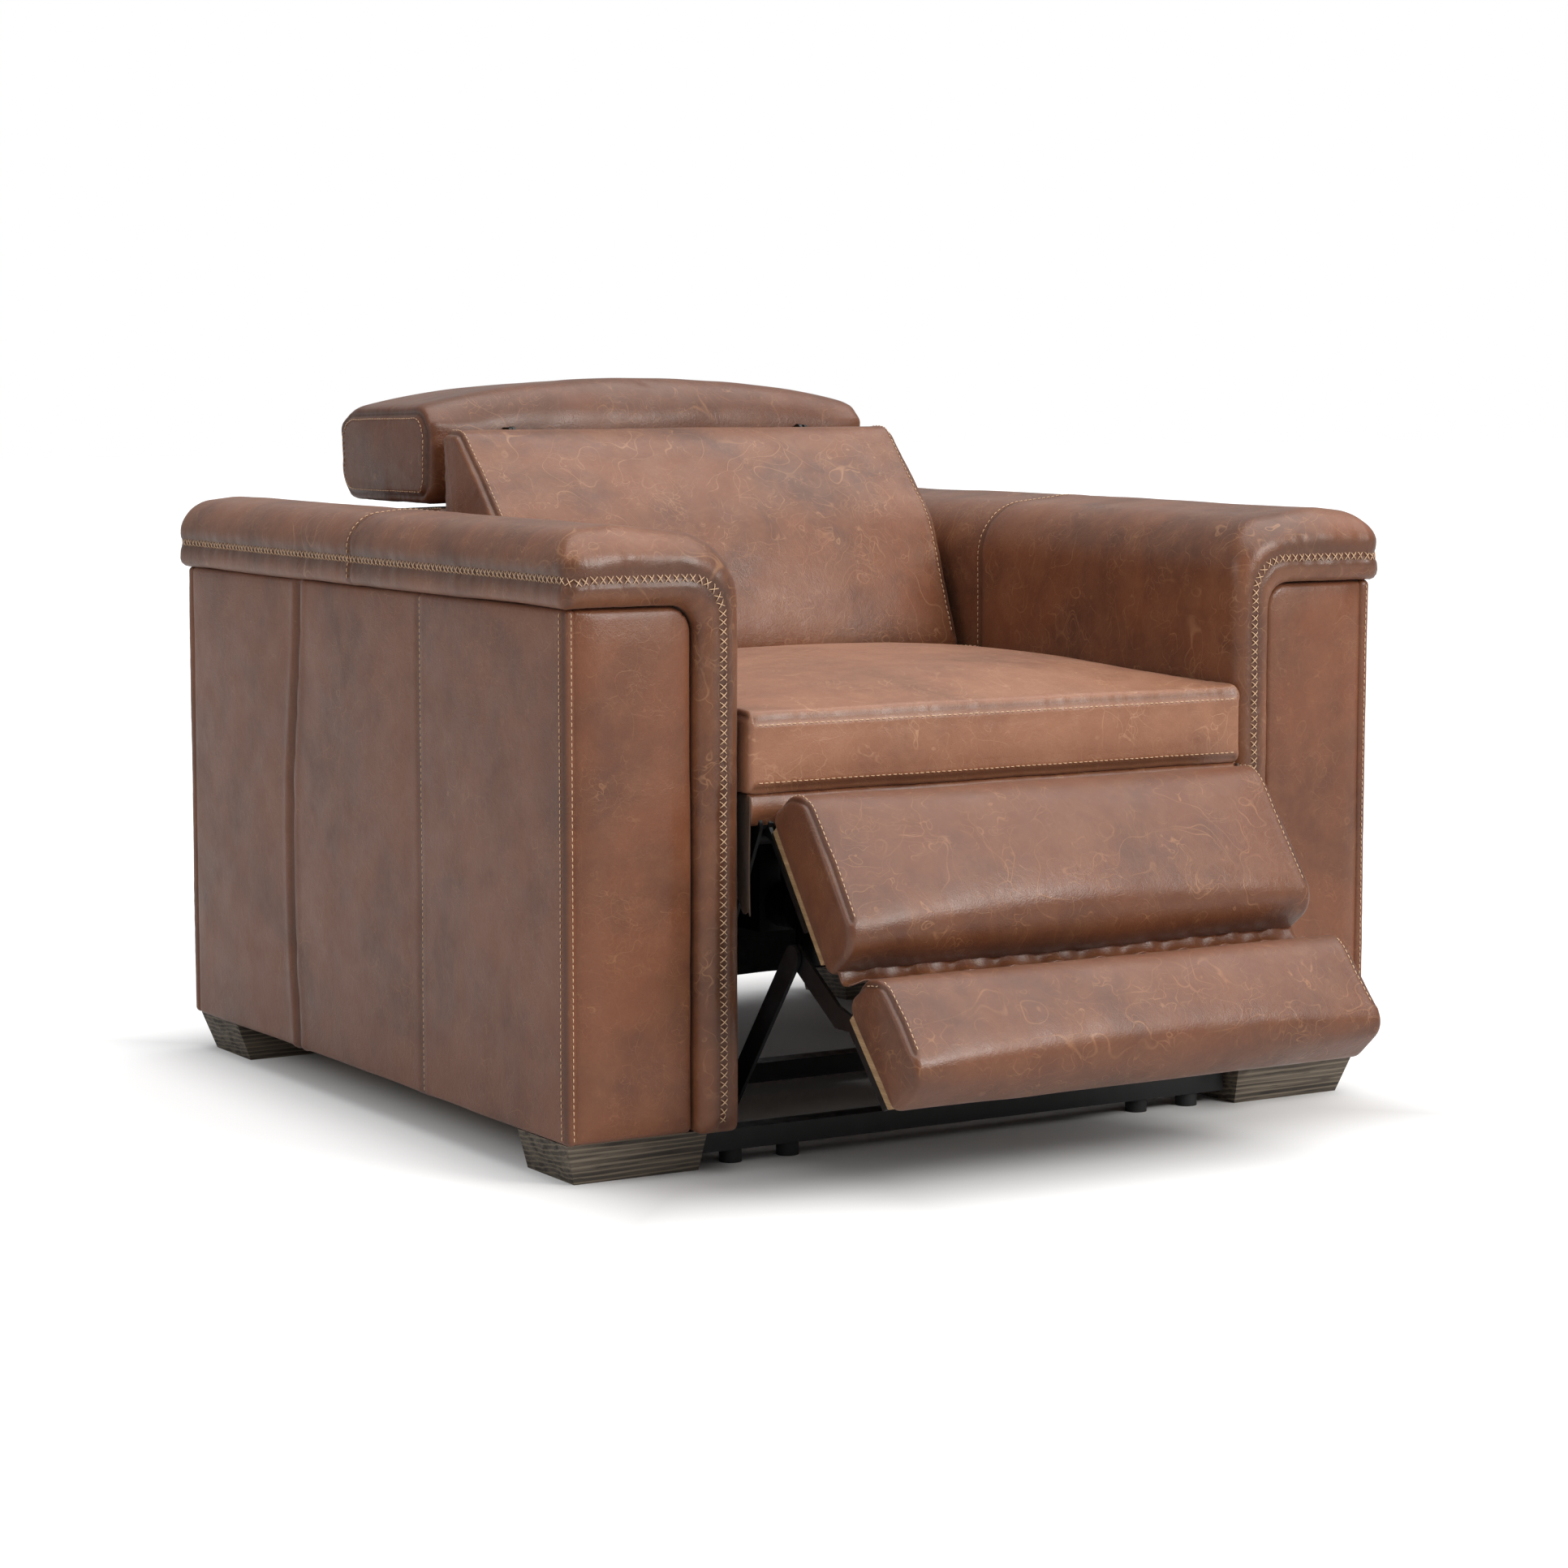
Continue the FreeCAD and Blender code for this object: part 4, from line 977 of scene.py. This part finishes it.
def make_shell():
    """The outer back's rear face and its two cheeks."""
    head, seam_x, stitch_x = 655, 304, 297
    shell = slab("back_rear_skin", (-314.5, 990.5, 200.5), (314.5, 1002, head), PANEL, 7.0, 5.5)
    points = coords(shell)
    x, z = points[:, 0], points[:, 2]
    swell = 6 * swelling(SHELL_HALF - np.abs(x), 60) * swelling(head - z, 50)
    swell *= swelling(z - 200, 50)
    points[:, 1] += swell * smooth(points[:, 1], 995, 1001)
    set_coords(shell, points)
    soften(shell, 180.0, 1.2, 55)
    lines = [[(s * seam_x, 1004, z) for z in (205, 650)] for s in (-1, 1)]
    lines.append([(x, 1004, 645) for x in (-seam_x, seam_x)])
    seams = [(line, {"depth": 1.6, "width": 3.0, "pucker": 0.4, "seed": 56}) for line in lines]
    stitches = [[(s * stitch_x, 1004, z) for z in (206, 638)] for s in (-1, 1)]
    stitches.append([(x, 1004, 638) for x in (-stitch_x, stitch_x)])
    dress(shell, "back", ["back_rear_panel"], seams, stitches, "shell_thread")

    for s, name in ((-1, "left"), (1, "right")):
        cheek = slab("back_side_skin_" + name, (s * 303.2, 731, 381), (s * 315, 989.5, head), PANEL, 7.0, 5.0)
        soften(cheek, 130.0, 0.6, 58 + s)
        dress(cheek, "back", ["back_side_panels"], [], [], "")


def make_headrest():
    half = HEADREST_HALF
    corners = [(758, 686), (757, 826), (1020, 818), (1020, 684)]
    pillow = bolster("headrest_skin", corners, [20, 40, 52, 44], half, PAD, cap_radius=14.0, cap_bulge=4.0)
    points = coords(pillow)
    x, d, z = points.T
    arch = 1 - np.abs(x / half) ** 2.4
    rise = smooth(z, 770, 815)
    points[:, 2] += rise * (15 * arch - 16 * (1 - arch) - 3)
    points[:, 1] -= 3 * arch * smooth(-d, -800, -760)
    points[:, 2] = np.where(z < 700, np.maximum(points[:, 2], 685), points[:, 2])
    set_coords(pillow, points)
    held = (np.abs(np.abs(points[:, 0]) - half + 7) < 9) | (points[:, 2] < 700)
    inflate(pillow, held, pressure=3.0, cap=9.0)
    subdivide(pillow)
    soften(pillow, 120.0, 1.2, 61)
    ring, _ = rounded_loop([(765, 694), (763, 798), (1012, 792), (1012, 692)], [18, 30, 36, 34], 6.0)
    seams, stitches = [], []
    closed = np.concatenate([ring, ring[:1]])
    settings = {"depth": 2.6, "width": 3.0, "pucker": 0.7, "reach": 11.0, "period": 15.0}
    for s in (-1, 1):
        seams.append(([(s * (half + 1), d, z) for d, z in closed], {**settings, "seed": 63 + s}))
        stitches.append([(s * (half + 8), d * 0.955 + 40, z * 0.92 + 59) for d, z in closed])
    dress(pillow, "headrest", ["headrest_pillow"], seams, stitches,
          "headrest_thread")


make_back_cushion()
make_ledge()
make_shell()
make_headrest()


# ---- footrest pads
def make_pad(name, body, centre, tilt, low, high, radii, seed):
    """A footrest pad: u runs up its face from its centre, and v from its face to its board."""
    angle = math.radians(tilt)

    def place(u, v):
        return (centre[0] + u * math.sin(angle) + v * math.cos(angle),
                centre[1] + u * math.cos(angle) - v * math.sin(angle))

    outline = [place(u, v) for u, v in ((low, 33), (high, 33), (high, -38), (low, -38))]
    half = PAD_HALF
    pad = bolster(name, outline, radii, half, PAD, spacing=6.5, cap_radius=8.0, cap_bulge=3.0)
    points = coords(pad)
    x = points[:, 0]
    v = (points[:, 1] - centre[0]) * math.cos(angle) - (points[:, 2] - centre[1]) * math.sin(angle)
    u = (points[:, 1] - centre[0]) * math.sin(angle) + (points[:, 2] - centre[1]) * math.cos(angle)
    arch = 1 - np.abs(x / half) ** 4
    middle = (u - low) / (high - low)
    crown = 8 * smooth(-v, 5, 34) * arch * hump(middle, 0, 1, 0.5)
    points[:, 1] -= crown * math.cos(angle)
    points[:, 2] += crown * math.sin(angle)
    set_coords(pad, points)
    held = (v > 22) | (np.abs(np.abs(x) - half + 3) < 6)
    inflate(pad, held, pressure=3.0, cap=8.0)
    subdivide(pad)
    soften(pad, 130.0, 1.0, seed)
    seams, stitches = [], []
    edge = [place(low + 30, -44), place((low + high) / 2, -46), place(high - 26, -40), place(high - 6, -12),
            place(high, 10)]
    settings = {"depth": 2.0, "width": 2.8, "pucker": 0.5, "reach": 10.0, "period": 15.0}
    for s in (-1, 1):
        seams.append(([(s * (half - 1), d, z) for d, z in edge], {**settings, "seed": seed + s}))
        stitches.append([(s * (half - 8), d, z) for d, z in edge])
    dress(pad, body, [body], seams, stitches, name + "_thread")


make_pad("upper_pad_skin", "upper_pad", (-116.0, 317.0), 37.0, -92.0, 104.0, [12, 14, 38, 30], 71)
make_pad("lower_pad_skin", "lower_pad", (-250.0, 172.0), 42.0, -66.0, 69.0, [12, 14, 34, 22], 81)


# ---- hanging sheets
def hanging(name, rows, cols, place, material, thickness=1.5, hole=None):
    """A thin leather sheet whose points are place(across, down), each from 0 to 1."""
    points = [place(c / (cols - 1), r / (rows - 1)) for r in range(rows) for c in range(cols)]
    faces = [(r * cols + c, r * cols + c + 1, (r + 1) * cols + c + 1, (r + 1) * cols + c)
             for r in range(rows - 1) for c in range(cols - 1)]
    if hole:
        faces = [face for face in faces if not hole(*np.mean([points[corner] for corner in face], axis=0))]
    sheet = mesh_object(name, points, faces, material, outward=False)
    solid = sheet.modifiers.new("thickness", "SOLIDIFY")
    solid.thickness = thickness * MM
    solid.offset = 0
    bake(sheet)
    sheet.data.polygons.foreach_set("use_smooth", [True] * len(sheet.data.polygons))
    return sheet


def declare_sheet(sheet, body):
    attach(sheet, body)


def ragged(across):
    """How far a torn lower edge hangs below or above its mean."""
    return 7 * math.sin(across * 6.0 + 0.6) + 4 * math.sin(across * 17.0 + 2.0)


def make_front_band():
    """The leather band under the cushion's front."""
    def place(across, down):
        x = -323 + 646 * across
        return x, -19 - 5 * math.sin(math.pi * down) - 1.2 * math.sin(x * 0.09) * down, 405 - 33 * down

    band = hanging("seat_front_band", 9, 130, place, CUSHION)
    declare_sheet(band, "base")
    tuple(put([(0, -19, 405)])[0])
    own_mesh(band)


def make_side_flaps(side, name):
    """Unfinished leather that hangs from the deck beside the mechanism, outside the moving links."""
    def outer(across, down):
        wave = 2.0 * math.sin(across * 9 + down * 3.0) * down
        return (side * (323.0 - 10.5 * across + 0.3 * wave), -26 + 60 * across + wave,
                404 - down * (120 + ragged(across)))

    flap = hanging("seat_side_flap_" + name, 36, 22, outer, FLAP)
    declare_sheet(flap, "base")
    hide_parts("seat_front_flap")


def make_pad_web():
    """Thin leather between the two footrest pads."""
    top, bottom = np.array([-158.0, 235.0]), np.array([-182.0, 225.0])

    def place(across, down):
        x = -297 + 594 * across
        middle = top + (bottom - top) * down
        sag = 7 * math.sin(math.pi * down) + 1.5 * math.sin(x * 0.11 + 3 * down) + 1.0 * math.sin(x * 0.23)
        return x, middle[0] + 0.35 * sag, middle[1] - sag

    web = hanging("pad_web", 12, 140, place, PAD)
    declare_sheet(web, "upper_pad")
    tuple(put([(0, *top)])[0])
    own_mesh(web)


def make_dust_cover():
    """Black cloth behind the mechanism, with a hole for the back's motor."""
    def place(across, down):
        x = -310 + 620 * across
        return x, 522 + 3 * math.sin(x * 0.05) * down, 371 - 257 * down

    def motor_hole(x, _, z):
        return abs(x) < 34 and 184 < z < 238

    cover = hanging("dust_cover", 44, 125, place, CLOTH, 1.0, motor_hole)
    declare_sheet(cover, "base")


make_front_band()
make_side_flaps(-1, "left")
make_side_flaps(1, "right")
make_pad_web()
make_dust_cover()


# ---- floor, light and camera
WORLD_LIGHT = 0.32
SKY_PANEL = 2.5
FLOOR_GLOW = 0.56  # keeps the floor white away from the chair; the camera alone sees it
FLOOR_SIZE = 30.0
SHADE_X, SHADE_Y, SHADE_CENTRE_Y = 0.46, 0.52, 0.08  # half sizes of the floor that has no glow


def make_floor():
    mesh = bpy.data.meshes.new("floor")
    far = FLOOR_SIZE
    mesh.from_pydata([(-far, -far, 0), (far, -far, 0), (far, far, 0), (-far, far, 0)], [], [(0, 1, 2, 3)])
    floor = bpy.data.objects.new("floor", mesh)
    bpy.context.scene.collection.objects.link(floor)
    s = Shader("floor")
    tone = s.mix(s.noise(2.0), (0.60, 0.60, 0.60, 1), (0.63, 0.63, 0.63, 1))
    path = s.node("ShaderNodeLightPath").outputs["Is Camera Ray"]
    spot = s.node("ShaderNodeSeparateXYZ", {"Vector": s.node("ShaderNodeNewGeometry").outputs["Position"]})
    beyond_x = s.math("SUBTRACT", s.math("ABSOLUTE", spot.outputs["X"], 0.0), SHADE_X)
    from_centre = s.math("SUBTRACT", spot.outputs["Y"], SHADE_CENTRE_Y)
    beyond_y = s.math("SUBTRACT", s.math("ABSOLUTE", from_centre, 0.0), SHADE_Y)
    lit = s.remap(s.math("MAXIMUM", beyond_x, beyond_y), -0.05, 0.22)
    glow = s.math("MULTIPLY", s.math("MULTIPLY", path, FLOOR_GLOW), lit)
    mesh.materials.append(s.finish(Base_Color=tone, Roughness=0.85, Emission_Color=(1, 1, 1, 1),
                                   Emission_Strength=glow))


def make_world():
    """Soft light from all round, behind a white backdrop."""
    world = bpy.data.worlds.new("studio")
    bpy.context.scene.world = world
    world.use_nodes = True
    tree = world.node_tree
    back = tree.nodes["Background"]
    back.inputs["Color"].default_value = (0.96, 0.98, 1.0, 1)
    back.inputs["Strength"].default_value = WORLD_LIGHT
    seen = tree.nodes.new("ShaderNodeBackground")
    seen.inputs["Color"].default_value = (1, 1, 1, 1)
    path = tree.nodes.new("ShaderNodeLightPath")
    blend = tree.nodes.new("ShaderNodeMixShader")
    tree.links.new(path.outputs["Is Camera Ray"], blend.inputs[0])
    tree.links.new(back.outputs[0], blend.inputs[1])
    tree.links.new(seen.outputs[0], blend.inputs[2])
    tree.links.new(blend.outputs[0], tree.nodes["World Output"].inputs[0])


def add_light(light, place, direction):
    lamp = bpy.data.objects.new(light.name, light)
    lamp.location = place
    lamp.rotation_euler = direction.to_track_quat("-Z", "Y").to_euler()
    bpy.context.scene.collection.objects.link(lamp)


def softbox(name, place, aim, size, power, tint):
    light = bpy.data.lights.new(name, "AREA")
    light.shape = "RECTANGLE"
    light.size, light.size_y = size
    light.energy = power
    light.color = tint
    add_light(light, place, Vector(aim) - Vector(place))


def make_lights():
    sun = bpy.data.lights.new("sky_panel", "SUN")
    sun.energy = SKY_PANEL
    sun.angle = math.radians(75)
    sun.color = (1, 0.99, 0.975)
    add_light(sun, (0, 0, 0), Vector((-0.25, 0.12, -1.0)))
    softbox("front_key", (1.6, -3.9, 2.5), (0, -0.2, 0.4), (1.6, 1.2), 105, (1, 0.975, 0.94))
    softbox("left_fill", (-3.6, -0.6, 1.9), (0, 0, 0.4), (1.6, 1.6), 16, (0.94, 0.97, 1))


CAMERA_PLACE = (-2.3587, -3.8118, 0.854)
CAMERA_DOWN, CAMERA_LEFT = 6.245, 31.163  # degrees below level, and round to the viewer's left


def make_camera():
    camera = bpy.data.cameras.new("camera")
    camera.lens = 87.73
    camera.sensor_width = 36.0
    obj = bpy.data.objects.new("camera", camera)
    obj.location = CAMERA_PLACE
    obj.rotation_euler = (math.radians(90 - CAMERA_DOWN), 0, -math.radians(CAMERA_LEFT))
    bpy.context.scene.collection.objects.link(obj)
    bpy.context.scene.camera = obj


make_floor()
make_world()
make_lights()
make_camera()
bpy.context.scene.view_settings.view_transform = "Standard"
